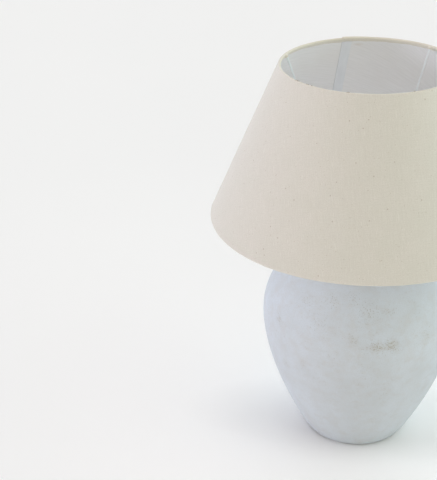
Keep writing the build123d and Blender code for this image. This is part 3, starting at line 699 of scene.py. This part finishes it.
seat_radius, skirt_bottom, skirt_top = extent("holder_skirt")
skirt_radius = 19.75
skirt_bore = 17.55
seat_top = cup_top + 3.0
spigot_radius = cup_radius - cup_wall - 0.1
skirt_section = outline(
    [
        (skirt_bore, skirt_bottom, 0.3), (spigot_radius, skirt_bottom, 0.3),
        (spigot_radius, cup_top), (seat_radius, cup_top, 0.8), (seat_radius, seat_top, 0.8),
        (skirt_radius, seat_top), (skirt_radius, skirt_top, 0.5), (skirt_bore, skirt_top, 0.5),
    ],
    step=0.3,
)
skirt_thread = cut_thread(2.5, 0.6, skirt_radius, seat_top + 1.5, skirt_top - 0.8)


def skirt_change(turn, radius, height):
    """The thread, only on the barrel above the seat."""
    barrel = (height > (seat_top + 0.1) * mm) & (radius < (skirt_radius + 0.1) * mm)
    return skirt_thread(turn, radius, height) * barrel


holder_skirt = turned("holder_skirt", skirt_section, around=160, change=skirt_change)
fit(holder_skirt, holder_plastic, "base", "holder_plastic", "holder_skirt")

# ---------------------------------------------------------------- contacts in the lampholder
# A pressed steatite block inside the skirt carries the nickel-plated screw shell, the springy centre contact
# and two brass terminals with their screws. The shell is rolled from thin sheet with the bulb's round thread.
steatite_look = {"tones": ((0.74, 0.72, 0.65), (0.85, 0.83, 0.78)), "relief": 0.05 * mm}
steatite = grained("steatite", (0.80, 0.78, 0.72), 0.75, (1.0 * mm, even, 4.0), **steatite_look)
brass_tones = ((0.58, 0.42, 0.18), (0.78, 0.60, 0.30))
brass_look = {"tones": brass_tones, "dull": (0.24, 0.42), "Metallic": 1.0}
brass = grained("brass", (0.70, 0.52, 0.24), 0.30, (2.0 * mm, even, 4.0), **brass_look)
finish_nodes(steatite, "contact_block")
finish_nodes(brass, "centre_contact", "terminals", "terminal_screws")

nickel = (0.70, 0.69, 0.66)
nickel_tones = ((0.60, 0.59, 0.56), (0.76, 0.75, 0.72))
nickel_grain = (1.5 * mm, (1, 1, 3), 3.0)
nickel_sheet = grained("nickel_sheet", nickel, 0.28, nickel_grain, nickel_tones, (0.20, 0.38), Metallic=1.0)
round_pitch = 3.629


def round_thread(depth, start, end):
    """The bulb's rolled thread: the whole sheet swings in and out by half the depth in a plain wave that
    rises once each pitch and once each turn, and lies flat at both ends."""

    def change(turn, radius, height):
        z = height / mm
        room = np.clip((z - start) / 2.5, 0, 1) * np.clip((end - z) / 2.5, 0, 1)
        return -depth * (0.5 - 0.5 * np.cos(tau * z / round_pitch - turn)) * room * mm

    return change


shell_radius, shell_bottom, shell_top = extent("screw_shell")
shell_bore = 7.5
shell_sheet = 0.4
shell_section = outline(
    [
        (shell_bore, shell_bottom), (shell_radius, shell_bottom, 0.6), (shell_radius, shell_top),
        (shell_radius - shell_sheet, shell_top),
        (shell_radius - shell_sheet, shell_bottom + shell_sheet, 0.3),
        (shell_bore, shell_bottom + shell_sheet),
    ],
    step=0.35,
)
shell_thread = round_thread(0.4, shell_bottom + 3, shell_top - 1)
screw_shell = turned("screw_shell", shell_section, around=96, change=shell_thread)
fit(screw_shell, nickel_sheet, "base", "nickel_shell", "screw_shell")

# ---------------------------------------------------------------- switch bar
# A moulded rod that is pushed from side to side through the cup to switch the lamp. Each end is rounded, and
# has a shallow dish for the fingertip.
bar_plastic = moulded_plastic("switch_plastic", (0.78, 0.78, 0.74), 0.30)
bar_start, bar_end = bar_low.x / mm, bar_high.x / mm
bar_section = outline(
    [
        (0, bar_start + 0.35), (1.0, bar_start + 0.15), (bar_radius, bar_start, 1.0),
        (bar_radius, bar_end, 1.0), (1.0, bar_end - 0.15), (0, bar_end - 0.35),
    ],
    closed=False,
    step=0.8,
)
bar = turned("switch_bar", bar_section, around=64, origin=(0, 0, bar_level), axis=(1, 0, 0))
fit(bar, bar_plastic, "switch", "switch_plastic", "switch_bar")

# ---------------------------------------------------------------- shade ring
# A moulded ring that screws down the skirt and holds the shade's fitter on the seat. Flutes round its rim
# give the fingers a grip.
ring_radius, ring_bottom, ring_top = extent("shade_ring")
ring_bore = 20.05
flute_count = 24
flute_radius = 0.9
ring_section = band(ring_bore, ring_radius, ring_bottom, ring_top, (0.3, 0.6, 0.6, 0.4), 0.5)


def finger_flutes(turn, radius, height):
    """Round flutes in the rim: a circle centred just outside the rim is taken off at each of 24 places."""
    nearest = (turn + tau / flute_count / 2) % (tau / flute_count) - tau / flute_count / 2
    aside = nearest * ring_radius
    bite = np.sqrt(np.clip(flute_radius**2 - aside**2, 0, None)) - flute_radius / 2
    return -np.clip(bite, 0, None) * (radius > (ring_radius - 1.2) * mm) * mm


shade_ring = turned("shade_ring", ring_section, around=flute_count * 16, change=finger_flutes, sharp=30)
fit(shade_ring, holder_plastic, "ring", "holder_plastic", "shade_ring")

# ---------------------------------------------------------------- shade frame
# White powder-coated wire: a hoop in each hem, a flat fitter ring on the seat, and three straight struts from
# the fitter up to the top hoop. Each strut ends in a short foot, and every joint is a small weld.
white_wire = new_material("powder_coat", (0.86, 0.87, 0.86), 0.42, Specular_IOR_Level=0.5)
wire_place = body_place(white_wire)
wire_orange_peel = blotches(wire_place, 1.1 * mm, detail=2.0)
wire_thin = blotches(wire_place, 14 * mm, detail=2.0)
wire_tone = mix_colours(levels(wire_thin, 0.4, 0.75), (0.80, 0.85, 0.87), (0.74, 0.78, 0.80))
paint("Base Color", wire_tone)
emboss(wire_orange_peel, 0.04 * mm)
wire_radius = 1.2
hoop_wire = 1.25

hem_radius = hoop_wire + 0.7
hem_level = 322.6
shade_height = 202.6
shade_bottom_radius = 200.0
shade_taper = 87.1
wall_slant = np.hypot(shade_height, shade_taper)
wall_up = np.array((-shade_taper, shade_height)) / wall_slant
wall_in = np.array((-wall_up[1], wall_up[0]))
wall_foot = np.array((shade_bottom_radius, hem_level))


def on_wall(up, inward):
    """(radius, height) of a point on the shade's section: this far up the slant from the wall's foot and
    inward from the fabric's face, all in millimetres."""
    up, inward = np.asarray(up, float), np.asarray(inward, float)
    return wall_foot + up[..., None] * wall_up + inward[..., None] * wall_in


def hoop(name, centre):
    """A ring of wire about the lamp's axis, with a round section about this (radius, height)."""
    angle = np.linspace(0, tau, 16, endpoint=False)
    section = np.stack([centre[0] + hoop_wire * np.cos(angle), centre[1] + hoop_wire * np.sin(angle)], 1) * mm
    piece = turned(name, section, around=240)
    fit(piece, white_wire, "shade", "white_wire", name)


top_hoop_centre = on_wall(wall_slant - hem_radius, hem_radius)
hoop("top_hoop", top_hoop_centre)
hoop("bottom_hoop", on_wall(hem_radius, hem_radius))

fitter_radius, fitter_bottom, fitter_top = extent("fitter_ring")
fitter_bore = 20.6
fitter_section = band(fitter_bore, fitter_radius, fitter_bottom, fitter_top, (0.3, 0.5, 0.5, 0.3), 1.5)
fitter = turned("fitter_ring", fitter_section, around=120)
fit(fitter, white_wire, "shade", "white_wire", "fitter_ring")


def wire(name, path, radius, square_to, sides=14):
    """A round wire along a path: a circle square to the path at each of its points. Both ends close in half
    balls, whose circles shrink as the cosine of their distance past the end."""
    ahead_there = np.gradient(path, axis=0)
    ahead_there /= np.linalg.norm(ahead_there, axis=1, keepdims=True)
    rise = np.linspace(0, tau / 4, 6)[1:]
    before = path[0] - ahead_there[0] * radius * np.sin(rise[::-1])[:, None]
    after = path[-1] + ahead_there[-1] * radius * np.sin(rise)[:, None]
    centres = np.concatenate([before, path, after])
    sizes = radius * np.concatenate([np.cos(rise[::-1]), np.ones(len(path)), np.cos(rise)])
    ways = np.concatenate([ahead_there[:1].repeat(5, 0), ahead_there, ahead_there[-1:].repeat(5, 0)])
    aside = np.cross(ways, square_to)
    aside /= np.linalg.norm(aside, axis=1, keepdims=True)
    other = np.cross(ways, aside)
    angle = np.arange(sides) * tau / sides
    rim = aside[:, None] * np.cos(angle)[:, None] + other[:, None] * np.sin(angle)[:, None]
    return skin(name, centres[:, None] + rim * sizes[:, None, None], wrap_rows=False)


def welds(name, places, size, flat):
    """Small beads of weld: squashed balls about these places, each a little different in size."""
    turn = np.linspace(0, tau, 14, endpoint=False)
    tilt = np.linspace(0, tau / 2, 9)[:, None, None]
    level_ring = np.stack([np.cos(turn), np.sin(turn), 0 * turn], -1)
    ball = np.sin(tilt) * level_ring + np.cos(tilt) * np.array((0, 0, 1))
    grids = []
    for number, place in enumerate(places):
        swell = 1 + 0.12 * sin(5 * number + 1)
        grids.append(np.array(place) + ball * np.array((size, size, flat)) * swell * mm)
    fit(skin(name, grids, wrap_rows=False), white_wire, "shade", "white_wire")


strut_turns = np.array((47.0, 164.0, 284.0))
strut_foot = (25.6, 317.2)
strut_knee = (28.6, 317.2, 2.5)
strut_top = (top_hoop_centre[0] - hoop_wire - wire_radius + 0.2, top_hoop_centre[1])
strut_path = outline([strut_foot, strut_knee, strut_top], closed=False, step=6.0)
foot_welds, top_welds = [], []
for number, turn in enumerate(np.radians(strut_turns)):
    out = np.array((cos(turn), sin(turn), 0))
    across = (-sin(turn), cos(turn), 0)
    route = strut_path[:, :1] * out + strut_path[:, 1:] * np.array((0, 0, 1))
    name = f"strut_{number + 1}"
    strut = wire(name, route, wire_radius * mm, across)
    fit(strut, white_wire, "shade", "white_wire", name)
    for side in (-1, 1):
        foot = out * 27.0 * mm + np.array(across) * side * 1.15 * mm
        foot_welds.append((foot[0], foot[1], fitter_top * mm + 0.1 * mm))
        head = out * (strut_top[0] + 1.1) * mm + np.array(across) * side * 1.0 * mm
        top_welds.append((head[0], head[1], (strut_top[1] - 0.2) * mm))
welds("fitter_welds", foot_welds, 1.3, 0.7)
welds("hoop_welds", top_welds, 0.9, 0.9)

# ---------------------------------------------------------------- shade fabric
# One piece of natural linen, cut flat as part of a ring, wrapped into a cone and lapped where it meets at the
# back. Each edge is rolled over its hoop and its end is tucked against the lining.
seam_turn = 109.7
hem_wrap = 220.0
cloth = 0.6
tuck_back, tuck_front = 1.9, 1.3
tuck_end = hem_radius + 4.9
wall_rows = 56


def hem_face(roll, depth):
    """(distance up the wall, inward) of one face of the rolled hem, from the end of its tuck to the wall.

    The roll is a circle about the hoop, 220 degrees of it. It runs off straight towards the lining, bends,
    and ends in the tuck, which lies along the lining at this depth.
    """
    wrap = np.radians(np.linspace(hem_wrap, 0, 26))
    circle = np.stack([hem_radius - roll * np.sin(wrap), hem_radius - roll * np.cos(wrap)], 1)
    end = circle[0]
    bend = end[0] + (end[1] - depth) / np.tan(np.radians(hem_wrap - 180))
    run = np.stack([np.linspace(tuck_end, bend + 0.35, 6), np.full(6, depth)], 1)
    corner = np.array([[bend - 0.02, depth + 0.07], [bend - 0.30, depth + 0.27]])
    return np.concatenate([run, corner, circle])


def full_face(roll, depth):
    """The whole face: the lower hem, the wall between, and the upper hem, which mirrors the lower one."""
    hem = hem_face(roll, depth)
    between = np.linspace(hem_radius, wall_slant - hem_radius, wall_rows)[1:-1]
    wall = np.stack([between, np.full(len(between), hem[-1, 1])], 1)
    mirrored = hem[::-1] * np.array((-1, 1)) + np.array((wall_slant, 0))
    return np.concatenate([hem, wall, mirrored])


outer_face = full_face(hem_radius, tuck_back)
inner_face = full_face(hem_radius - cloth, tuck_front)
face_steps = np.linalg.norm(np.diff(outer_face, axis=0), axis=1)
wall_length = np.concatenate([[0], np.cumsum(face_steps)])
lower_hem = wall_length[np.argmin(np.abs(outer_face[:, 0] - hem_radius) + outer_face[:, 1])]
cloth_section = np.concatenate([outer_face, inner_face[::-1]])
cloth_along = np.concatenate([wall_length, wall_length[::-1]]) - lower_hem + hem_radius

# Columns stand closer together at the lap and at each strut.
even_turns = np.arange(270) * 360 / 270
lap_turns = 360 - np.array((0.03, 0.06, 0.12, 0.25, 0.5, 0.8))
strut_fine = np.linspace(-2.8, 2.8, 17)
close_turns = [lap_turns] + [turn - seam_turn + strut_fine for turn in strut_turns]
past_seam = np.unique(np.round(np.concatenate([even_turns] + close_turns) % 360, 3))
cloth_turns = np.radians(past_seam + seam_turn - 360)


def lap_height(turn_degrees, length):
    """How far the lapped edge stands out: 1 just past the seam, fading to 0 over length degrees."""
    past = (turn_degrees - seam_turn) % -360 * -1
    return np.exp(-((past / length) ** 2)) * (past > 0.02)


turn, up = np.meshgrid(cloth_turns, cloth_section[:, 0])
inward = np.meshgrid(cloth_turns, cloth_section[:, 1])[1]
turn_degrees = np.degrees(turn)
near_top = np.clip((up - (wall_slant - 12)) / 8, 0, 1)
near_hem = np.maximum(near_top, np.clip((12 - up) / 8, 0, 1))
rolled = np.clip((inward - 0.7) / 1.5, 0, 1) * near_hem
lap = lap_height(turn_degrees, 16.0)
hem_wander = 0.10 * np.sin(23 * turn + 1) + 0.08 * np.sin(51 * turn) + 0.05 * np.sin(97 * turn + 2)
tuck_wander = 0.28 * np.sin(19 * turn + 2) + 0.18 * np.sin(43 * turn) + 0.12 * np.sin(88 * turn + 1)
from_strut = np.min([np.abs((turn_degrees - place + 180) % 360 - 180) for place in strut_turns], axis=0)
at_strut = np.exp(-((from_strut / 1.5) ** 4))
pull = 0.10 * np.sin(3 * turn + up / 60) * np.clip(up / 30, 0, 1) * np.clip((wall_slant - up) / 30, 0, 1)
upward = np.sign(up - wall_slant / 2)
from_edge = np.minimum(up, wall_slant - up)
in_tuck = np.clip((inward - 1.2) / 0.1, 0, 1) * (from_edge > tuck_end - 0.8)
shifted_up = up + upward * near_hem * (hem_wander * 0.6 + lap * 1.3)
shifted_up = shifted_up - upward * tuck_wander * in_tuck
shifted_in = inward - lap * 0.45 * (1 - rolled) + rolled * (lap * 0.7 + hem_wander * 0.5) + pull
shifted_in = shifted_in + at_strut * near_top * rolled * 2.6
shifted_in = shifted_in + 0.30 * np.exp(-(((from_edge - 6.5) / 2.0) ** 2)) * (inward < 0.7)


def wall_points(turn, up, inward):
    """Points on the shade at these turns, this far up its slant and inward from the fabric's face."""
    places = on_wall(up, inward) * mm
    return round_axis(turn, places[..., 0], places[..., 1])


cone_ratio = shade_taper / wall_slant
tip_distance = shade_bottom_radius / cone_ratio


def laid_flat(turns, along, back=0.0):
    """The cone cut open and laid flat. A place's distance from the cone's tip stays, and its turn, less the
    turn back, shrinks in the cone's ratio of radius to slant."""
    angle = (np.append(turns, turns[0] + tau) - back) * cone_ratio
    distance = (tip_distance - np.append(along, along[0])) * mm
    return np.stack([distance[:, None] * np.sin(angle), -distance[:, None] * np.cos(angle)], -1)


# The threads run straight up the middle of the cut, which faces away from the lap.
flat_places = laid_flat(cloth_turns, cloth_along, radians(seam_turn - 180))
cloth_points = wall_points(turn, shifted_up, shifted_in)
fabric = skin("shade_fabric", cloth_points, pattern=flat_places, sharp=60)
cloth_places = vertex_places(fabric)
cloth_radii = np.hypot(cloth_places[:, 0], cloth_places[:, 1])
section_places = np.stack([cloth_radii, cloth_places[:, 2]], 1) - wall_foot
vertex_up, vertex_in = section_places @ wall_up, section_places @ wall_in
vertex_edge = np.minimum(vertex_up, wall_slant - vertex_up)
# Painted light on the rolled hems: a little along their very edge, more on their inner side.
rim_share = np.clip((2.0 - vertex_edge) / 1.5, 0, 1) * 0.12
inner_share = np.clip((vertex_in - 1.0) / 1.5, 0, 1) * 0.42
mark(fabric, "hem", rim_share + inner_share)

linen = new_material("natural_linen", (0.658, 0.633, 0.566), 0.92, Sheen_Weight=0.15, Sheen_Roughness=0.5)
linen_place = add_node(linen, "UVMap", uv_map="flat_cut").outputs["UV"]
thread_pitch = 0.85 * mm
linen_parts = add_node(linen, "SeparateXYZ", {"Vector": linen_place}).outputs
thread_waves = []
for axis in "XY":
    crossings = reckon("MULTIPLY", linen_parts[axis], tau / thread_pitch)
    thread_waves.append(reckon("SINE", crossings))
over_under = reckon("MULTIPLY", *thread_waves)
warp_streaks = blotches(linen_place, 1.1 * mm, (1, 22, 1), 3.0, 0.65)
weft_streaks = blotches(linen_place, 1.1 * mm, (18, 1, 1), 3.0, 0.65)
slubs = blotches(linen_place, 1.0 * mm, (1.3, 14, 1), 1.0)
linen_grain = blotches(linen_place, 1.5 * mm, detail=4.0, roughness=0.7)
cloth_clouds = blotches(linen_place, 32 * mm, detail=3.0, roughness=0.6)
weave_height = warp_streaks
for pattern, share in ((over_under, 0.25), (weft_streaks, 0.8), (linen_grain, 0.8)):
    weave_height = reckon("ADD", weave_height, reckon("MULTIPLY", pattern, share))
emboss(weave_height, 0.14 * mm)
linen_flecks = flecks(linen_place, 11 * mm, 1.0 * mm, 0.60)
fine_flecks = flecks(linen_place, 5 * mm, 0.70 * mm, 0.50)
hem_painted_light = add_node(linen, "Attribute", attribute_name="hem").outputs["Fac"]
linen_tone = tint(
    mix_colours(levels(cloth_clouds, 0.3, 0.7), (0.765, 0.728, 0.665), (0.738, 0.714, 0.642)),
    (warp_streaks, 0.35, 0.75, 0.60, (0.649, 0.619, 0.550)),
    (weft_streaks, 0.38, 0.75, 0.50, (0.658, 0.626, 0.558)),
    (linen_grain, 0.42, 0.72, 0.75, (0.629, 0.592, 0.521)),
    (slubs, 0.66, 0.78, 0.50, (0.833, 0.805, 0.748)),
    (over_under, -0.4, -1.0, 0.14, (0.507, 0.468, 0.395)),
    # Bits of husk in the yarn.
    (linen_flecks, 0, 1, 0.55, (0.36, 0.27, 0.19)),
    (fine_flecks, 0, 1, 0.38, (0.39, 0.30, 0.21)),
    # Painted light: the rolled hems are made paler and warmer, where little light reaches them.
    (hem_painted_light, 0, 1, 1, (0.800, 0.735, 0.610)),
)
paint("Base Color", linen_tone)
fit(fabric, linen, "shade", "linen", "shade_fabric")

# A few threads have worked loose along the inner side of the top hem, in front.
loose_ends = (
    (-141, 5, 1.0),
    (-138, 4, -0.9),
    (-139, 4, 0.7),
    (-131, 4, 0.9),
    (-126, 3, -0.8),
    (-103, 3, 0.9),
    (-63, 3, 0.8),
)
hairs = []
start_radius, start_height = on_wall(wall_slant + 0.1, 1.2)
for degrees, length, lean in loose_ends:
    share = np.linspace(0, 1, 12)[:, None]
    direction = np.array((cos(radians(degrees)), sin(radians(degrees)), 0))
    aside = np.array((-direction[1], direction[0], 0))
    path = direction * start_radius + np.array((0, 0, start_height))
    path = path + aside * lean * share * length - direction * (share - 0.5) * length * 0.3
    path = path + np.array((0, 0, 1)) * (0.16 * share - 0.22 * share**2) * length
    hairs.append(wire("loose_thread", path * mm, 0.24 * mm, direction, 6))
with bpy.context.temp_override(active_object=hairs[0], selected_editable_objects=hairs):
    bpy.ops.object.join()
loose_threads = hairs[0]
loose_threads.name = "loose_threads"
flax_tones = ((0.20, 0.14, 0.08), (0.42, 0.34, 0.24))
flax = grained("flax_thread", (0.55, 0.48, 0.38), 0.9, (1.5 * mm,), flax_tones)
fit(loose_threads, flax, "shade", "linen")

# ---------------------------------------------------------------- lining
# A smooth white film stuck to the back of the linen, from hem to hem. It was stretched on a machine, which
# left faint slanting streaks, and a little glue has stained it under the back of the top hem.
lining_depth = cloth + 0.1
lining_film = 0.5
lining_edge = 2 * hem_radius - cloth
lining_up = np.linspace(lining_edge, wall_slant - lining_edge, 40)
lining_along = np.concatenate([lining_up, lining_up[::-1]])
lining_inward = np.repeat([lining_depth, lining_depth + lining_film], 40)
lining_turns = np.arange(240) * tau / 240
turn, up = np.meshgrid(lining_turns, lining_along)
inward = np.meshgrid(lining_turns, lining_inward)[1]
lining_pattern = laid_flat(lining_turns, lining_along)
lining = skin("shade_lining", wall_points(turn, up, inward), pattern=lining_pattern)

film = new_material("lining_film", (0.780, 0.766, 0.768), 0.55, Specular_IOR_Level=0.35)
film_place = add_node(film, "UVMap", uv_map="flat_cut").outputs["UV"]
slanted = add_node(film, "Mapping", {"Vector": film_place, "Rotation": (0, 0, radians(28))}).outputs["Vector"]
film_streaks = blotches(slanted, 1.6 * mm, (1, 22, 1), 3.0, 0.6)
film_clouds = blotches(film_place, 60 * mm)
stain_turn = radians(98.5)
stain_radius, stain_height = on_wall(wall_slant - 12.5, 1.2) * mm
stain_place = (cos(stain_turn) * stain_radius, sin(stain_turn) * stain_radius, stain_height)
from_stain = far_from(film, stain_place, (1, 1, 2.6))
film_tone = tint(
    mix_colours(levels(film_streaks, 0.35, 0.70, 0, 0.7), (0.823, 0.810, 0.814), (0.738, 0.725, 0.722)),
    (film_clouds, 0.35, 0.70, 0.5, (0.780, 0.760, 0.747)),
    (from_stain, 8 * mm, 1 * mm, 0.30, (0.62, 0.52, 0.42)),
)
paint("Base Color", film_tone)
paint("Roughness", levels(film_streaks, 0.3, 0.7, 0.45, 0.62))
emboss(film_streaks, 0.03 * mm)
fit(lining, film, "shade", "lining_film", "shade_lining")

# ---------------------------------------------------------------- lining seam
# A strip of thinner film stuck over the lining where its ends meet. One long edge wanders a little and is
# darker along a thin line.
strip_depth = 1.3
strip_film = 0.35
strip_width = 13.5
strip_up = np.linspace(tuck_end + 0.3, wall_slant - tuck_end - 0.3, 60)
strip_across = np.linspace(1, strip_width - 1, 9)
strip_across = np.concatenate([[0, 0.4], strip_across, [strip_width - 0.4, strip_width]])
strip_loop = np.concatenate([strip_across, strip_across[::-1]])
strip_lift = np.concatenate([np.full(13, strip_depth + strip_film), np.full(13, strip_depth)])
strip_round = np.concatenate([[-0.2], np.zeros(11), [-0.2], np.zeros(13)])
up, aside = np.meshgrid(strip_up, strip_loop, indexing="ij")
aside = aside + (0.06 * np.sin(up / 9) + 0.03 * np.sin(up / 4 + 1)) * (aside < 1)
inward = np.broadcast_to(strip_lift + strip_round, up.shape)
places = on_wall(up, inward) * mm
strip_turn = radians(seam_turn) - np.arcsin(np.clip(aside * mm / places[..., 0], -1, 1))
strip_points = round_axis(strip_turn, places[..., 0], places[..., 1])
ends = np.repeat(strip_points[[0, -1]].mean(axis=1, keepdims=True), strip_points.shape[1], axis=1)
strip_points = np.concatenate([ends[:1], strip_points, ends[1:]])
strip_rows = np.concatenate([[0], strip_up, [wall_slant]])[:, None]
strip_columns = np.append(strip_loop, strip_loop[0])[None, :]
strip_pattern = np.stack(np.broadcast_arrays(strip_columns * mm, strip_rows * mm), -1)
seam_strip = skin("lining_seam", strip_points, wrap_rows=False, pattern=strip_pattern)

seam_film = new_material("seam_film", (0.741, 0.751, 0.779), 0.50, Specular_IOR_Level=0.35)
seam_flat = add_node(seam_film, "UVMap", uv_map="flat_cut").outputs["UV"]
seam_across = add_node(seam_film, "SeparateXYZ", {"Vector": seam_flat}).outputs["X"]
seam_cloud = blotches(seam_flat, 7 * mm, (1, 4, 1), 3.0)
seam_tone = mix_colours(levels(seam_cloud, 0.3, 0.7), (0.767, 0.779, 0.802), (0.718, 0.729, 0.757))
# A thin darker line along one long edge.
dark_edge_line = (seam_across, 0.8 * mm, 0.2 * mm, 0.45, (0.439, 0.432, 0.439))
seam_tone = tint(seam_tone, dark_edge_line)
paint("Base Color", seam_tone)
emboss(seam_cloud, 0.06 * mm)
fit(seam_strip, seam_film, "shade", "seam_film", "lining_seam_tape")

# ---------------------------------------------------------------- bulb
# A globe bulb: a brass tip on a black glass insulator, a rolled nickel cap, a white moulded collar that holds
# the driver, and a satin opal globe seated on the collar's rim.
tip_bottom, tip_top = extent("bulb_tip")[1:]
tip_radius = 4.8
tip_section = [(0, tip_bottom), (3.0, tip_bottom), (tip_radius, tip_bottom + 0.4, 0.3)]
tip_section = outline(tip_section + [(tip_radius, tip_top), (0, tip_top)], closed=False)
tip = turned("bulb_tip", tip_section, around=64)
fit(tip, brass, "bulb", "brass", "bulb_tip")

glass_black = (0.02, 0.02, 0.022)
glass_look = {"dull": (0.08, 0.22), "relief": 0.08 * mm, "Specular_IOR_Level": 0.6}
black_glass = grained("black_glass", glass_black, 0.12, (3 * mm,), **glass_look)
insulator_bottom, insulator_top = extent("bulb_insulator")[1:]
insulator_section = outline(
    [
        (0, insulator_bottom), (5.8, insulator_bottom, 0.3), (9.0, insulator_bottom + 1.0),
        (12.2, insulator_top - 0.6, 0.4), (12.8, insulator_top), (0, insulator_top),
    ],
    closed=False,
)
insulator = turned("bulb_insulator", insulator_section, around=96)
fit(insulator, black_glass, "bulb", "black_glass", "bulb_insulator")

thread_crest, bulb_cap_bottom, bulb_cap_top = extent("bulb_cap")
bulb_cap_bore = thread_crest - 0.5
bulb_cap_section = band(bulb_cap_bore, thread_crest, bulb_cap_bottom, bulb_cap_top, (0, 0.3, 0, 0), 0.35)
bulb_thread = round_thread(0.9, bulb_cap_bottom + 1, bulb_cap_top - 3)
bulb_cap = turned("bulb_cap", bulb_cap_section, around=96, change=bulb_thread)
fit(bulb_cap, nickel_sheet, "bulb", "nickel_shell", "bulb_cap")

collar_radius, collar_bottom, collar_top = extent("bulb_collar")
collar_waist = (collar_bottom + collar_top) / 2
collar_wall = 1.6
collar_neck = 14.4


def collar_face(inset):
    """The collar's flowing side, from its neck to its rim, set in by this much."""
    neck, rim = collar_neck - inset, collar_radius - inset
    handles = ((neck + 3, collar_waist), (rim - 3, collar_waist))
    return bent((neck, collar_bottom), *handles, (rim, collar_top), 36)


collar_section = np.concatenate([collar_face(0), collar_face(collar_wall)[::-1]]) * mm


def cooling_fins(turn, radius, height):
    """Shallow upright fins round the collar's waist, 36 to the turn, that fade out at its neck and rim."""
    share = np.clip((height / mm - collar_bottom) / (collar_top - collar_bottom), 0, 1)
    room = np.clip((share - 0.15) / 0.15, 0, 1) * np.clip((0.8 - share) / 0.15, 0, 1)
    outer = radius > np.interp(share, [0, 1], [collar_neck - 0.9, collar_radius - 0.9]) * mm * 0.8
    return -0.4 * mm * room * outer * np.clip(0.5 + 0.9 * np.cos(36 * turn), 0, 1)


bulb_plastic = moulded_plastic("bulb_plastic", (0.86, 0.86, 0.85), 0.5)
collar = turned("bulb_collar", collar_section, around=288, change=cooling_fins)
fit(collar, bulb_plastic, "bulb", "bulb_body", "bulb_collar")

globe_bottom, globe_top = extent("bulb_globe")[1:]
globe_radius = 30.0
globe_centre = globe_top - globe_radius
globe_wall = 1.2
globe_rim = globe_bottom - globe_centre


def globe_face(radius):
    """Part of a circle about the globe's centre, from the level of the rim to the top."""
    angle = np.linspace(np.arcsin(globe_rim / radius), tau / 4, 60)
    return np.stack([radius * np.cos(angle), globe_centre + radius * np.sin(angle)], 1)


globe_section = np.concatenate([globe_face(globe_radius)[::-1], globe_face(globe_radius - globe_wall)]) * mm
globe_section[[0, -1], 0] = 0
opal_tones = ((0.87, 0.87, 0.85), (0.93, 0.93, 0.91))
opal_look = {"dull": (0.28, 0.42), "Specular_IOR_Level": 0.5, "Coat_Weight": 0.15}
opal = grained("opal_globe", (0.90, 0.90, 0.88), 0.35, (12 * mm, even, 3.0), opal_tones, **opal_look)
emboss(blotches(body_place(opal), 0.4 * mm), 0.01 * mm)
globe = turned("bulb_globe", globe_section, around=144)
fit(globe, opal, "bulb", "opal_globe", "bulb_globe")
